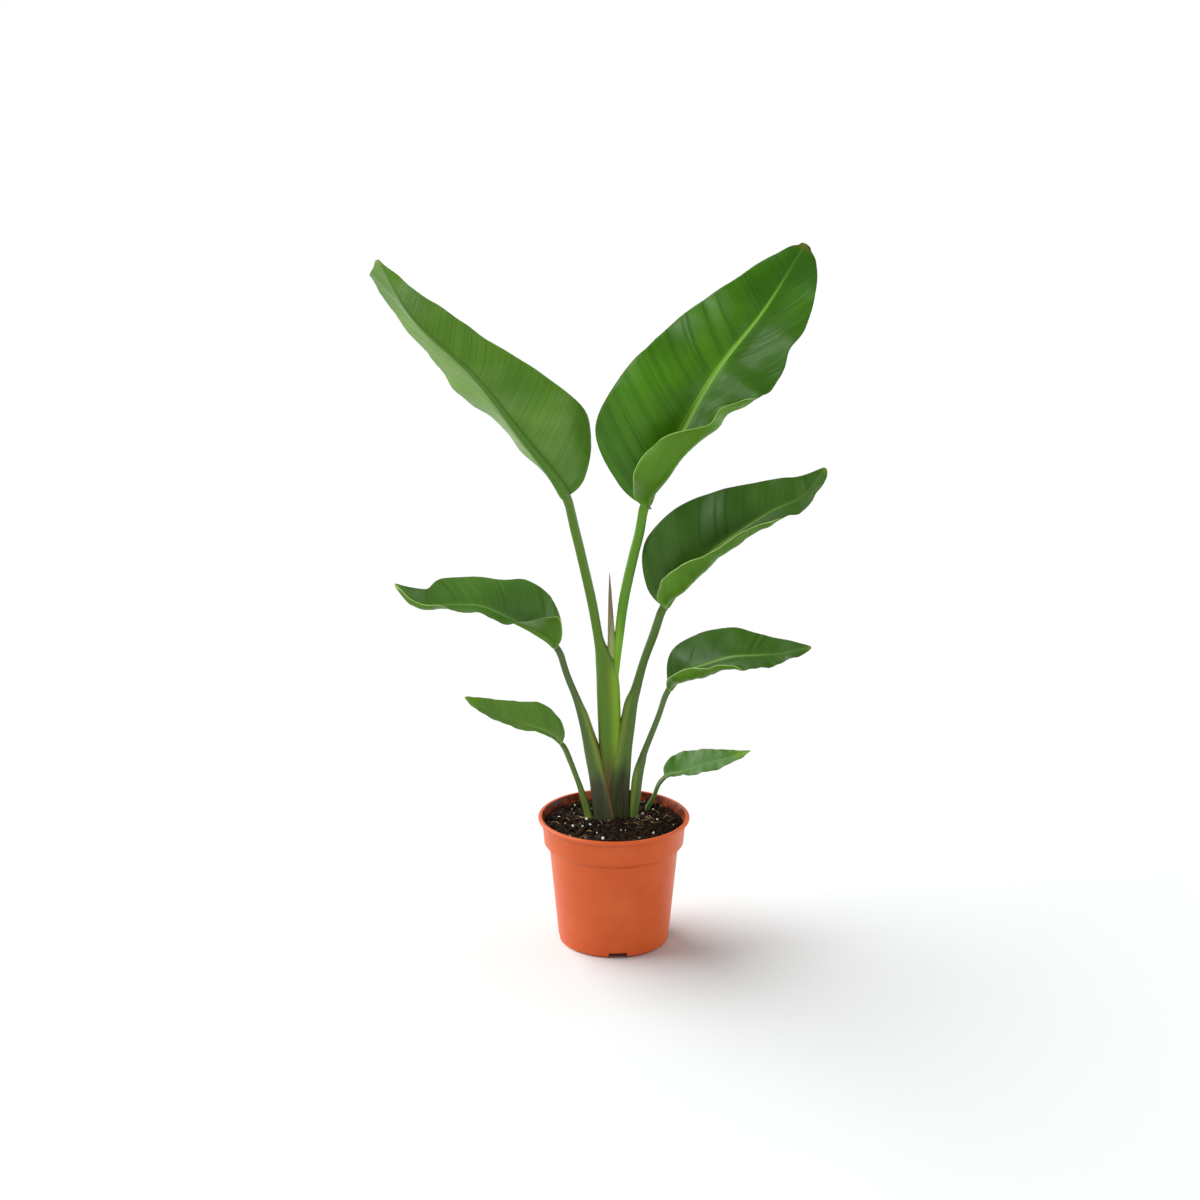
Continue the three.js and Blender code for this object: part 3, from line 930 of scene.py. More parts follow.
@dataclass
class LeafStalk:
    """A stalk: a round petiole that widens below into the sheath round the younger stalks."""

    leaf: Leaf
    finish: StalkFinish
    sides: int = 56
    steps: int = 10
    neck: float = 10.0
    gap: float = 0.3
    stalk_power: float = 2.2
    sheath_power: float = 3.2
    lip: float = 0.45
    lip_draws: int = 24
    channel: float = 0.1
    channel_width: float = 0.35

    def sections(self) -> Array:
        """The stalk's sections with its neck, which bends halfway to the blade's midrib.

        Returns:
            Rows of the middle, half the width and half the depth, in mm.
        """
        leaf, spine, start = self.leaf, Spine(self.leaf), np.zeros(1)
        end = spine.root(start)[0] - spine.up(start)[0] * leaf.rib - spine.along(start)[0] * self.gap
        neck = (*(end - spine.arrival(end) * self.neck), *leaf.stalk[-1][3:])
        return np.array([*leaf.stalk, neck, (*end, leaf.rib, leaf.rib)], float)

    def rings(self) -> tuple[Array, Notes]:
        """The stalk as rings.

        Returns:
            The rings' points in mm and the numbers that the finish reads.
        """
        sections = self.sections()
        spans = len(sections) - 1
        share = np.linspace(0, 1, spans * self.steps + 1)
        at = share * spans
        centre = through(sections[:, :3], share)
        half_width, half_depth = (through(sections[:, k], share)[:, None] for k in (3, 4))
        along = unit(np.gradient(centre, axis=0))
        side = unit(np.stack([along[:, 2], 0 * share, -along[:, 0]], axis=1))
        depth = np.cross(along, side)
        sheath = 1 - smoothstep(at, self.leaf.sheath - 1.2, self.leaf.sheath + 0.2)
        if not self.leaf.sheath:
            sheath = 0 * share
        power = 2 / (self.stalk_power + (self.sheath_power - self.stalk_power) * sheath)
        angle = circle(self.sides)[None, :]
        x, y = (np.sign(wave) * np.abs(wave) ** power[:, None] for wave in (np.cos(angle), np.sin(angle)))
        wing = x * self.leaf.inward.value
        ragged = through(np.random.default_rng(self.leaf.number).uniform(0.3, 1.0, self.lip_draws), share)
        lip = self.lip * ragged[:, None] * sheath[:, None] * smoothstep(wing, 0.8, 1.0)
        toward_end = smoothstep(at, spans - 2.0, spans - 0.2)[:, None]
        size = (1 + lip / half_width) * (1 + toward_end * (self.notched(side, depth, angle) - 1))
        points = centre[:, None] + side[:, None] * (x * size * half_width)[..., None]
        points += depth[:, None] * (y * size * half_depth)[..., None]
        sheaths = np.repeat(sheath[:, None], self.sides, axis=1)
        return points, dict(zip(STALK_NOTES, (wing, sheaths, points[..., 2] * MM)))

    def notched(self, side: Array, depth: Array, angle: Array) -> Array:
        """The blade base's section, flat above and round below.

        Args:
            side: the direction of the section's width.
            depth: the direction of its depth.
            angle: where round the section each point lies.

        Returns:
            Radii, for a unit circle.
        """
        up = Spine(self.leaf).up(np.zeros(1))[0]
        turn = np.arctan2(depth @ up, side @ up)[:, None]
        across, above = np.cos(angle - turn + np.pi / 2), np.sin(angle - turn + np.pi / 2)
        spread = 4 * across**2 + above**2
        radius = (above + np.sqrt(4 * above**2 + 12 * across**2)) / spread
        flat = 1 / np.maximum(above, 1e-3)
        channel = self.channel * bell(across, self.channel_width) * (above > 0)
        return np.minimum(radius, flat) * (1 - channel)

    def build(self) -> Piece:
        """Makes the stalk.

        Returns:
            The finished piece.
        """
        points, notes = self.rings()
        name = f"leaf_stalk_{self.leaf.number}"
        stalk = Workbench.rolled(name, points * MM, notes)
        looks = [self.finish.dress(name)]
        return Workbench.finished(stalk, "stalk_green", looks, f"stalk_{self.leaf.number}")


@dataclass
class SpearLeaf:
    """The newest leaf, still rolled into a spear."""

    sections: tuple[Row, ...] = (
        (-8, 14, 160, 2, 2), (-7.6, 14, 200, 2.3, 2.3), (-6, 14, 235, 3.3, 3), (-2.4, 13, 275, 3.6, 3.2),
        (-2.8, 13, 300, 2.8, 2.7), (-3.5, 14, 322, 1.8, 1.7), (-4.2, 15, 346, 0.3, 0.3),
    )  # fmt: skip
    sides: int = 40
    steps: int = 14
    turns: float = 1.1
    overlap: float = 0.16
    green_to: float = 0.27
    brown_from: float = 0.325
    lower: Colour = srgb(138, 158, 84)
    upper: Colour = srgb(112, 98, 72)
    edge: Colour = srgb(96, 70, 50)

    def finish(self) -> Look:
        """Pale green below, brown towards the tip, with fine lengthwise lines.

        Returns:
            The material.
        """
        recipe = Recipe("spear_leaf", self.lower, 0.45)
        fibre = recipe.noise(1, 4, recipe.chart((40, 6, 1)), 0.6)
        recipe.coat(recipe.band(recipe.attribute("rise"), self.green_to, self.brown_from), self.upper)
        recipe.coat(recipe.scaled(fibre, 0, 0.4), self.edge)
        recipe.coat(recipe.scaled(recipe.attribute("lap"), 0, 0.8), self.edge)
        recipe.relief(fibre, 0.0002, 0.4)
        return recipe.done()

    def build(self) -> Piece:
        """Makes the spear.

        Returns:
            The finished piece, with the outer edge of the roll winding up it.
        """
        sections = np.array(self.sections, float)
        share = np.linspace(0, 1, (len(sections) - 1) * self.steps + 1)
        centre = through(sections[:, :3], share)
        angle = circle(self.sides)[None, :]
        turn = (angle - TURN * self.turns * share[:, None]) % TURN / TURN
        size = (1 + self.overlap * (turn - 0.5))[..., None]
        width, depth = (through(sections[:, k], share)[:, None, None] for k in (3, 4))
        ring = np.stack([np.cos(angle), np.sin(angle), 0 * angle], axis=-1)
        points = centre[:, None] + ring * size * np.concatenate([width, depth, depth * 0], axis=-1)
        notes = {"rise": points[..., 2] * MM, "lap": smoothstep(turn, 0.93, 1.0)}
        spear = Workbench.rolled("rolled_spear_leaf", points * MM, notes)
        return Workbench.finished(spear, "spear_green", [self.finish()], "spear_leaf")


# ----------------------------------------------------------------------------------- pot


@dataclass
class NurseryPot:
    """The thin moulded pot: a rim bead, a collar, a tapered body and notches in its foot."""

    height: float = 0.120
    wall: float = 0.0015
    rim_radius: float = 0.070
    rim_thickness: float = 0.0034
    rim_depth: float = 0.0038
    rim_rounding: float = 0.0009
    rim_swell: float = 0.0014
    rim_start: Row = (0.0008, 0.0002)
    collar_top: float = 0.0667
    collar_bottom: float = 0.0647
    collar_foot: float = 0.0955
    ledge_foot: float = 0.091
    ledge_lift: float = 0.0007
    body_top: float = 0.0598
    foot_radius: float = 0.0514
    foot_width: float = 0.002
    foot_rounding: float = 0.0015
    floor_rise: float = 0.0045
    pad_radius: float = 0.020
    notches: int = 4
    notch_width: float = 0.0175
    notch_height: float = 0.005
    notch_reach: float = 0.012
    notch_draft: float = 0.08
    notch_turn: float = math.radians(4)
    overcut: float = 0.001
    drain_radius: float = 0.004
    drain_ring: float = 0.038
    drain_length: float = 0.008
    drain_sides: int = 32
    segments: int = 128
    merge: float = 1e-6
    softness: float = 0.0006
    bevel_angle: float = math.radians(30)
    smooth_angle: float = math.radians(40)
    inward_share: float = 0.3
    plastic: Colour = srgb(190, 79, 28)
    worn: Colour = srgb(199, 90, 40)
    # painted shade for the inside of the pot
    inside_shade: Colour = srgb(80, 32, 18)

    def collar(self, height: float) -> float:
        """The collar's outer radius at a height."""
        share = (height - self.collar_foot) / (self.height - self.collar_foot)
        return self.collar_bottom + (self.collar_top - self.collar_bottom) * share

    def body(self, height: float) -> float:
        """The body's outer radius at a height."""
        return self.foot_radius + (self.body_top - self.foot_radius) * height / self.ledge_foot

    def profile(self) -> list[tuple[float, float]]:
        """The wall's section.

        Returns:
            Radius and height round the wall, from the middle of the pad and back to it.
        """
        slope, floor = self.floor_rise / 2, self.floor_rise + self.wall
        rim_foot = self.height - self.rim_depth
        foot_inside = self.foot_radius - self.foot_width
        return [
            (0, 0),
            (self.pad_radius, 0),
            (self.pad_radius + slope, self.floor_rise),
            (foot_inside - slope, self.floor_rise),
            (foot_inside, 0),
            (self.foot_radius - self.foot_rounding, 0),
            (self.body(self.foot_rounding), self.foot_rounding),
            (self.body_top, self.ledge_foot),
            (self.collar_bottom, self.collar_foot),
            (self.collar(rim_foot), rim_foot),
            (self.rim_radius - self.rim_start[0], rim_foot + self.rim_start[1]),
            (self.rim_radius, rim_foot + self.rim_swell),
            (self.rim_radius, self.height - self.rim_rounding),
            (self.rim_radius - self.rim_rounding, self.height),
            (self.rim_radius - self.rim_thickness, self.height),
            (self.collar(rim_foot) - self.wall, rim_foot),
            (self.collar_bottom - self.wall, self.collar_foot + self.ledge_lift),
            (self.body_top - self.wall, self.ledge_foot + self.ledge_lift),
            (self.body(floor) - self.wall, floor),
            (self.pad_radius + slope - self.wall, floor),
            (self.pad_radius - self.wall, self.wall),
            (0, self.wall),
        ]

    def turned(self) -> Piece:
        """The pot's wall.

        Returns:
            The object, extruded along its profile and spun.
        """
        stations = self.profile()
        pot = Workbench.started(bpy.ops.mesh.primitive_plane_add, "nursery_pot", size=MM)
        bpy.ops.object.mode_set(mode="EDIT")
        bpy.ops.mesh.select_all(action="SELECT")
        bpy.ops.mesh.merge(type="CENTER")
        for before, after in zip(stations, stations[1:]):
            move = (after[0] - before[0], 0, after[1] - before[1])
            bpy.ops.mesh.extrude_region_move(TRANSFORM_OT_translate={"value": move})
        bpy.ops.mesh.select_all(action="SELECT")
        bpy.ops.mesh.spin(steps=self.segments, angle=TURN, center=(0, 0, 0), axis=(0, 0, 1))
        bpy.ops.mesh.select_all(action="SELECT")
        bpy.ops.mesh.remove_doubles(threshold=self.merge)
        bpy.ops.mesh.normals_make_consistent(inside=False)
        bpy.ops.object.mode_set(mode="OBJECT")
        return pot

    def cut(self, pot: Piece, tool: Piece) -> None:
        """Cuts a tool out of the pot and puts it away."""
        Workbench.applied(pot, "BOOLEAN", operation="DIFFERENCE", solver="EXACT", object=tool)
        bpy.data.objects.remove(tool)

    def notch_tool(self, turn: float) -> Piece:
        """A wedge that opens one notch at the foot.

        Args:
            turn: where round the foot it stands.

        Returns:
            The tool.
        """
        tool = Workbench.started(bpy.ops.mesh.primitive_cube_add, "notch_tool", size=1)
        points = Workbench.points(tool)
        upper = points[:, 2] > 0
        points[:, 0] *= self.notch_width * np.where(upper, 1 - self.notch_draft, 1 + self.notch_draft)
        points[:, 1] = points[:, 1] * self.notch_reach - self.foot_radius
        points[:, 2] = np.where(upper, self.notch_height, -self.overcut)
        Workbench.shape(tool, spun(points, turn))
        return tool

    def drain_tool(self, turn: float) -> Piece:
        """An upright rod that opens one drain hole.

        Args:
            turn: where round the floor it stands.

        Returns:
            The tool.
        """
        place = (self.drain_ring * math.sin(turn), -self.drain_ring * math.cos(turn), self.floor_rise)
        sizes = {"vertices": self.drain_sides, "radius": self.drain_radius, "depth": self.drain_length}
        return Workbench.started(bpy.ops.mesh.primitive_cylinder_add, "drain_tool", place, **sizes)

    def finish(self, name: str, shade_share: float) -> Look:
        """Satin terracotta-coloured plastic, which may be darkened in blotches with painted shade.

        Args:
            name: the material's name.
            shade_share: how much of the surface the painted shade covers, from 0 to 1.

        Returns:
            The material.
        """
        recipe = Recipe(name, self.plastic, 0.42, 0.28 - 0.18 * shade_share)
        cloud = recipe.noise(30, 4)
        recipe.coat(recipe.band(cloud, 0.3, 0.8), self.worn)
        recipe.coat(recipe.scaled(recipe.noise(20, 3, recipe.place((1, 1, 6))), 0, 0.2), self.worn)
        # Painted shade: dark blotches, over as much of the surface as the share asks.
        recipe.coat(recipe.band(recipe.noise(90, 5), 0.2, 0.6, on=shade_share), self.inside_shade)
        recipe.relief(recipe.plus(recipe.noise(900), cloud), 0.00008, 0.5)
        return recipe.done(recipe.scaled(recipe.noise(70), 0.34, 0.46))

    def build(self) -> Piece:
        """Makes the pot.

        Returns:
            The finished piece.
        """
        pot = self.turned()
        for step in range(self.notches):
            turn = self.notch_turn + step * TURN / self.notches
            self.cut(pot, self.notch_tool(turn))
            self.cut(pot, self.drain_tool(turn))
        limits = {"limit_method": "ANGLE", "angle_limit": self.bevel_angle}
        Workbench.applied(pot, "BEVEL", width=self.softness, segments=3, **limits)
        Workbench.hold(pot)
        bpy.ops.object.shade_smooth_by_angle(angle=self.smooth_angle)
        # Faces that look inwards below the rim take the second material, darkened with painted shade.
        for polygon in pot.data.polygons:
            centre, normal = polygon.center, polygon.normal
            outward = normal.x * centre.x + normal.y * centre.y
            inward = outward < -self.inward_share * math.hypot(centre.x, centre.y)
            polygon.material_index = int(inward and centre.z < self.height - MM)
        looks = [self.finish("pot_plastic", 0.0), self.finish("pot_inside", 1.0)]
        return Workbench.finished(pot, "pot_plastic", looks, "pot")


# ---------------------------------------------------------------------------------- soil


@dataclass
class PottingSoil:
    """Peat that fills the pot, with crumbs, perlite and rootlets on its surface."""

    pot: NurseryPot
    edge_height: float = 0.1122
    heap: tuple[Row, ...] = ((0, 0.1137), (0.0236, 0.1134), (0.0425, 0.1128), (0.066, 0.1122))
    bottom: float = 0.007
    gap: float = 0.0003
    cells: int = 190
    lumps: float = 0.0016
    reach: float = 0.003
    crumbs: int = 900
    crumb_size: Row = (0.0006, 0.0032)
    perlite: int = 75
    perlite_size: Row = (0.0005, 0.0019)
    rootlets: int = 34
    rootlet_reach: float = 0.061
    rootlet_steps: int = 12
    rootlet_rings: int = 24
    rootlet_sides: int = 6
    seed: int = 7
    black: Colour = srgb(20, 13, 8)
    brown: Colour = srgb(66, 46, 30)
    white: Colour = srgb(240, 236, 226)
    dirt: Colour = srgb(150, 138, 120)
    straw: Colour = srgb(176, 142, 100)

    def level(self, x: Array, y: Array) -> Array:
        """The height of the heap, without its lumps."""
        return np.interp(np.hypot(x, y), *zip(*self.heap))

    def lump(self, x: float, y: float) -> float:
        """The lumps of the surface.

        Args:
            x: the place's x.
            y: the place's y.

        Returns:
            How far the surface rises there.
        """
        coarse = noise.fractal(Vector((x * 130, y * 130, 1.3)), 0.8, 2.1, 4)
        fine = noise.fractal(Vector((x * 420, y * 420, 5.1)), 0.7, 2.2, 3)
        return self.lumps * (0.75 * coarse + 0.35 * fine)

    def surface(self, x: float, y: float) -> float:
        """The height of the surface at a place."""
        return float(self.level(x, y)) + self.lump(x, y)

    def body(self) -> Piece:
        """The soil itself.

        Returns:
            One closed piece with a lumpy top.
        """
        soil, column, row = Workbench.grid("potting_soil", self.cells, self.cells)
        a, b = 2 * column / self.cells - 1, 2 * row / self.cells - 1
        # a square laid on a disc, with the same room for each cell
        longer, wide = np.maximum(np.abs(a), np.abs(b)), np.abs(a) >= np.abs(b)
        turn = np.where(wide, b / np.where(a == 0, 1, a), 2 - a / np.where(b == 0, 1, b))
        turn = np.where(np.where(wide, a, b) < 0, turn + 4, turn)
        angle = turn * math.pi / 4
        inset = self.pot.wall + self.gap
        edge = self.pot.collar(self.edge_height) - inset
        x, y = longer * edge * np.cos(angle), longer * edge * np.sin(angle)
        lumps = np.array([self.lump(p, r) for p, r in zip(x, y)])
        z = self.level(x, y) + lumps * np.clip((1 - longer) * 12, 0.25, 1)
        Workbench.shape(soil, np.stack([x, y, z], axis=1))
        lift = self.pot.ledge_lift + self.gap
        stations = [
            (self.pot.collar_bottom - inset, self.pot.collar_foot + lift),
            (self.pot.body_top - inset, self.pot.ledge_foot + lift),
            (self.pot.body(self.bottom) - inset, self.bottom),
        ]
        Workbench.open_border(soil)
        for radius, height in stations:
            bpy.ops.mesh.extrude_region_move()
            mesh = bmesh.from_edit_mesh(soil.data)
            for vertex in mesh.verts:
                if vertex.select:
                    vertex.co = (*(vertex.co.xy.normalized() * radius), height)
            bmesh.update_edit_mesh(soil.data)
        Workbench.seal()
        return Workbench.finished(soil, "peat", [self.peat()], "soil")

    def peat(self) -> Look:
        """Damp dark peat with fibres and a few bright grains.

        Returns:
            The material.
        """
        recipe = Recipe("peat", self.black, 0.9, 0.1)
        clump, fleck = recipe.noise(160, 6, rough=0.65), recipe.noise(1500)
        recipe.coat(recipe.band(clump, 0.42, 0.72), self.brown)
        recipe.coat(recipe.band(fleck, 0.66, 0.74), self.straw)
        recipe.relief(recipe.plus(clump, fleck), 0.0006, 0.8)
        return recipe.done()

    def mineral(self) -> Look:
        """Perlite: chalky white with grey dirt in patches.

        Returns:
            The material.
        """
        recipe = Recipe("perlite", self.white, 0.8, 0.3)
        recipe.coat(recipe.band(recipe.noise(500, 4), 0.5, 0.7, on=0.6), self.dirt)
        recipe.relief(recipe.noise(1400), 0.0002, 0.6)
        return recipe.done()

    def fibre(self) -> Look:
        """Rootlets: straw brown, darker in places.

        Returns:
            The material.
        """
        recipe = Recipe("rootlet", self.straw, 0.7, 0.3)
        recipe.coat(recipe.band(recipe.noise(120, 4), 0.3, 0.7), self.brown)
        recipe.relief(recipe.noise(900), 0.0001, 0.5)
        return recipe.done()

    def scatter(self, name: str, count: int, size: Row, rise: float, look: Look, seed: int) -> Piece:
        """Grains strewn over the surface, each a dented ball.

        Args:
            name: the piece's name.
            count: how many grains.
            size: the smallest and the largest radius.
            rise: how far a grain stands out, as a share of its size.
            look: the grains' material.
            seed: for the random draws.

        Returns:
            One finished piece that holds all the grains.
        """
        draw = np.random.default_rng(seed)
        reach = self.pot.collar(self.edge_height) - self.pot.wall - self.reach
        grain = Workbench.started(bpy.ops.mesh.primitive_ico_sphere_add, name, subdivisions=2, radius=1)
        ball = Workbench.points(grain)
        triangles = np.array([polygon.vertices for polygon in grain.data.polygons])
        points, faces = [], []
        for index in range(count):
            distance, angle = reach * math.sqrt(draw.uniform(0, 1)), draw.uniform(0, TURN)
            x, y = distance * math.cos(angle), distance * math.sin(angle)
            radius = size[0] + (size[1] - size[0]) * draw.uniform(0, 1) ** 2.2
            bumps = [noise.noise(Vector(p * 1.7) + Vector((index, 0, 0))) for p in ball]
            dents = 1 + 0.28 * np.array(bumps)
            squash, turn = draw.uniform(0.6, 1.0, 3), draw.uniform(0, TURN)
            dented = ball * dents[:, None] * squash * radius
            points.append(spun(dented, turn) + (x, y, self.surface(x, y) + rise * radius))
            faces.append(triangles + index * len(ball))
        grain.data.clear_geometry()
        grain.data.from_pydata(np.concatenate(points).tolist(), [], np.concatenate(faces).tolist())
        grain.data.update()
        Workbench.hold(grain)
        bpy.ops.object.shade_smooth()
        return Workbench.finished(grain, "peat", [look])

    def rootlet_path(self, draw: np.random.Generator) -> tuple[Array, float]:
        """Where one rootlet lies.

        Args:
            draw: the source of random numbers.

        Returns:
            The points of its path and its radius.
        """
        angle, distance = draw.uniform(0, TURN), draw.uniform(0.012, 0.052)
        heading = draw.uniform(0, TURN)
        length, radius = draw.uniform(0.009, 0.026), draw.uniform(0.00016, 0.0004)
        x, y = distance * math.cos(angle), distance * math.sin(angle) + 0.004
        path, last = [], self.rootlet_steps - 1
        for step in range(self.rootlet_steps):
            heading += draw.uniform(-0.35, 0.35)
            x += length / self.rootlet_steps * math.cos(heading)
            y += length / self.rootlet_steps * math.sin(heading)
            arch = 0.0016 * math.sin(math.pi * step / last) * draw.uniform(0.6, 1.0)
            path.append((x, y, self.surface(x, y) + radius + arch))
        path = np.array(path)
        path[:, :2] *= np.minimum(1, self.rootlet_reach / np.hypot(path[:, 0], path[:, 1]))[:, None]
        return path, radius

    def strands(self) -> Piece:
        """Thin rootlets that lie on the peat, most of them round the crown.

        Returns:
            One finished piece that holds them all.
        """
        draw = np.random.default_rng(self.seed + 3)
        ring = circle(self.rootlet_sides)[None, :, None]
        swell = 0.35 + 0.65 * np.sin(np.pi * np.linspace(0.08, 0.92, self.rootlet_rings))
        made = []
        for index in range(self.rootlets):
            path, radius = self.rootlet_path(draw)
            centre = through(path, np.linspace(0, 1, self.rootlet_rings))
            along = unit(np.gradient(centre, axis=0))
            side = unit(np.cross(along, (0, 0, 1)))
            top = np.cross(side, along)
            round_it = side[:, None] * np.cos(ring) + top[:, None] * np.sin(ring)
            points = centre[:, None] + (radius * swell)[:, None, None] * round_it
            made.append(Workbench.rolled(f"rootlet_{index}", points))
        Workbench.hold(*made)
        bpy.ops.object.join()
        return Workbench.finished(Workbench.named("rootlets"), "peat", [self.fibre()])

    def build(self) -> None:
        """Makes the soil and what lies on it."""
        self.body()
        self.scatter("peat_crumbs", self.crumbs, self.crumb_size, 0.35, self.peat(), self.seed)
        self.scatter("perlite_grains", self.perlite, self.perlite_size, 0.5, self.mineral(), self.seed + 1)
        self.strands()


# -------------------------------------------------------------------------------- studio


@dataclass
class Studio:
    """A pale floor, soft lights and the photograph's camera."""

    camera_place: Row = (-0.0128, -1.540, 0.710)
    camera_tilt: float = math.radians(75.96)
    lens: float = 53.04
    sensor: float = 36.0
    floor_size: float = 40.0
    floor_tone: Colour = (0.88, 0.9, 0.902)
    sky_front: float = 0.12
    sky_back: float = 0.6
    sky_from: float = -0.95
    sky_to: float = 0.3
    sun_from: Row = (-0.9, 0.4, 0.62)
    sun_power: float = 4.2
    sun_spread: float = math.radians(74)
    aim: Row = (0, 0, 0.3)
    lamps: tuple[tuple[str, Row, float, float], ...] = (
        ("key", (-1.0, -1.6, 1.5), 0.8, 21),
        ("fill", (1.6, -1.5, 0.7), 1.2, 15),
        ("edge", (1.6, 0.4, 0.35), 0.9, 9),
    )

    def stand(self, name: str, data: bpy.types.ID, place: Row, turn: Row) -> Piece:
        """Puts a camera or a light in the scene.

        Args:
            name: its name.
            data: the camera or the light.
            place: where it stands.
            turn: its rotation.

        Returns:
            Its object.
        """
        made = bpy.data.objects.new(name, data)
        made.location, made.rotation_euler = place, turn
        bpy.context.scene.collection.objects.link(made)
        return made

    def camera(self) -> None:
        """Sets up the camera."""
        data = bpy.data.cameras.new("camera")
        data.lens, data.sensor_width = self.lens, self.sensor
        bpy.context.scene.camera = self.stand("camera", data, self.camera_place, (self.camera_tilt, 0, 0))

    def light(
        self, kind: str, name: str, power: float, beam: Vector, place: Row, **settings: object
    ) -> Piece:
        """Adds a light.

        Args:
            kind: the light's type.
            name: its name.
            power: its energy.
            beam: the direction in which it shines.
            place: where it stands.
            settings: its other settings.

        Returns:
            The light's object.
        """
        data = bpy.data.lights.new(name, kind)
        data.energy = power
        for key, value in settings.items():
            setattr(data, key, value)
        return self.stand(name, data, place, beam.to_track_quat("-Z", "Y").to_euler())

    def sky_light(self) -> None:
        """A white sky, dimmer in front, which the camera sees as a white backdrop."""
        world = bpy.data.worlds.new("studio")
        world.use_nodes = True
        nodes, links = world.node_tree.nodes, world.node_tree.links
        background = nodes["Background"]
        background.inputs["Color"].default_value = (1, 1, 1, 1)
        place = nodes.new("ShaderNodeSeparateXYZ")
        links.new(nodes.new("ShaderNodeTexCoord").outputs["Generated"], place.inputs[0])
        front = nodes.new("ShaderNodeMapRange")
        front.interpolation_type = "SMOOTHSTEP"
        links.new(place.outputs["Y"], front.inputs[0])
        limits = (self.sky_from, self.sky_to, self.sky_front, self.sky_back)
        for socket, value in zip(front.inputs[1:5], limits):
            socket.default_value = value
        seen = nodes.new("ShaderNodeMapRange")
        links.new(front.outputs[0], seen.inputs[3])
        links.new(nodes.new("ShaderNodeLightPath").outputs["Is Camera Ray"], seen.inputs[0])
        links.new(seen.outputs[0], background.inputs["Strength"])
        bpy.context.scene.world = world

    def floor(self) -> bpy.types.Collection:
        """Lays the floor.

        Returns:
            A collection that tells the lamps to skip it.
        """
        floor = Workbench.started(bpy.ops.mesh.primitive_plane_add, "floor", size=self.floor_size)
        floor.data.materials.append(Recipe("floor_paper", self.floor_tone, 0.9, 0.2).done())
        skipped = bpy.data.collections.new("skipped_by_lamps")
        skipped.objects.link(floor)
        skipped.collection_objects[0].light_linking.link_state = "EXCLUDE"
        return skipped

    def build(self) -> None:
        """Makes the floor, the lights and the sky."""
        skipped = self.floor()
        self.light("SUN", "sun", self.sun_power, -Vector(self.sun_from), (0, 0, 0), angle=self.sun_spread)
        for name, place, size, power in self.lamps:
            beam = Vector(self.aim) - Vector(place)
            lamp = self.light("AREA", name, power, beam, place, shape="DISK", size=size)
            lamp.light_linking.receiver_collection = skipped
        self.sky_light()
        bpy.context.scene.view_settings.view_transform = "Standard"


# ------------------------------------------------------------------------ this one plant

FLAT: Row = (0, 0)

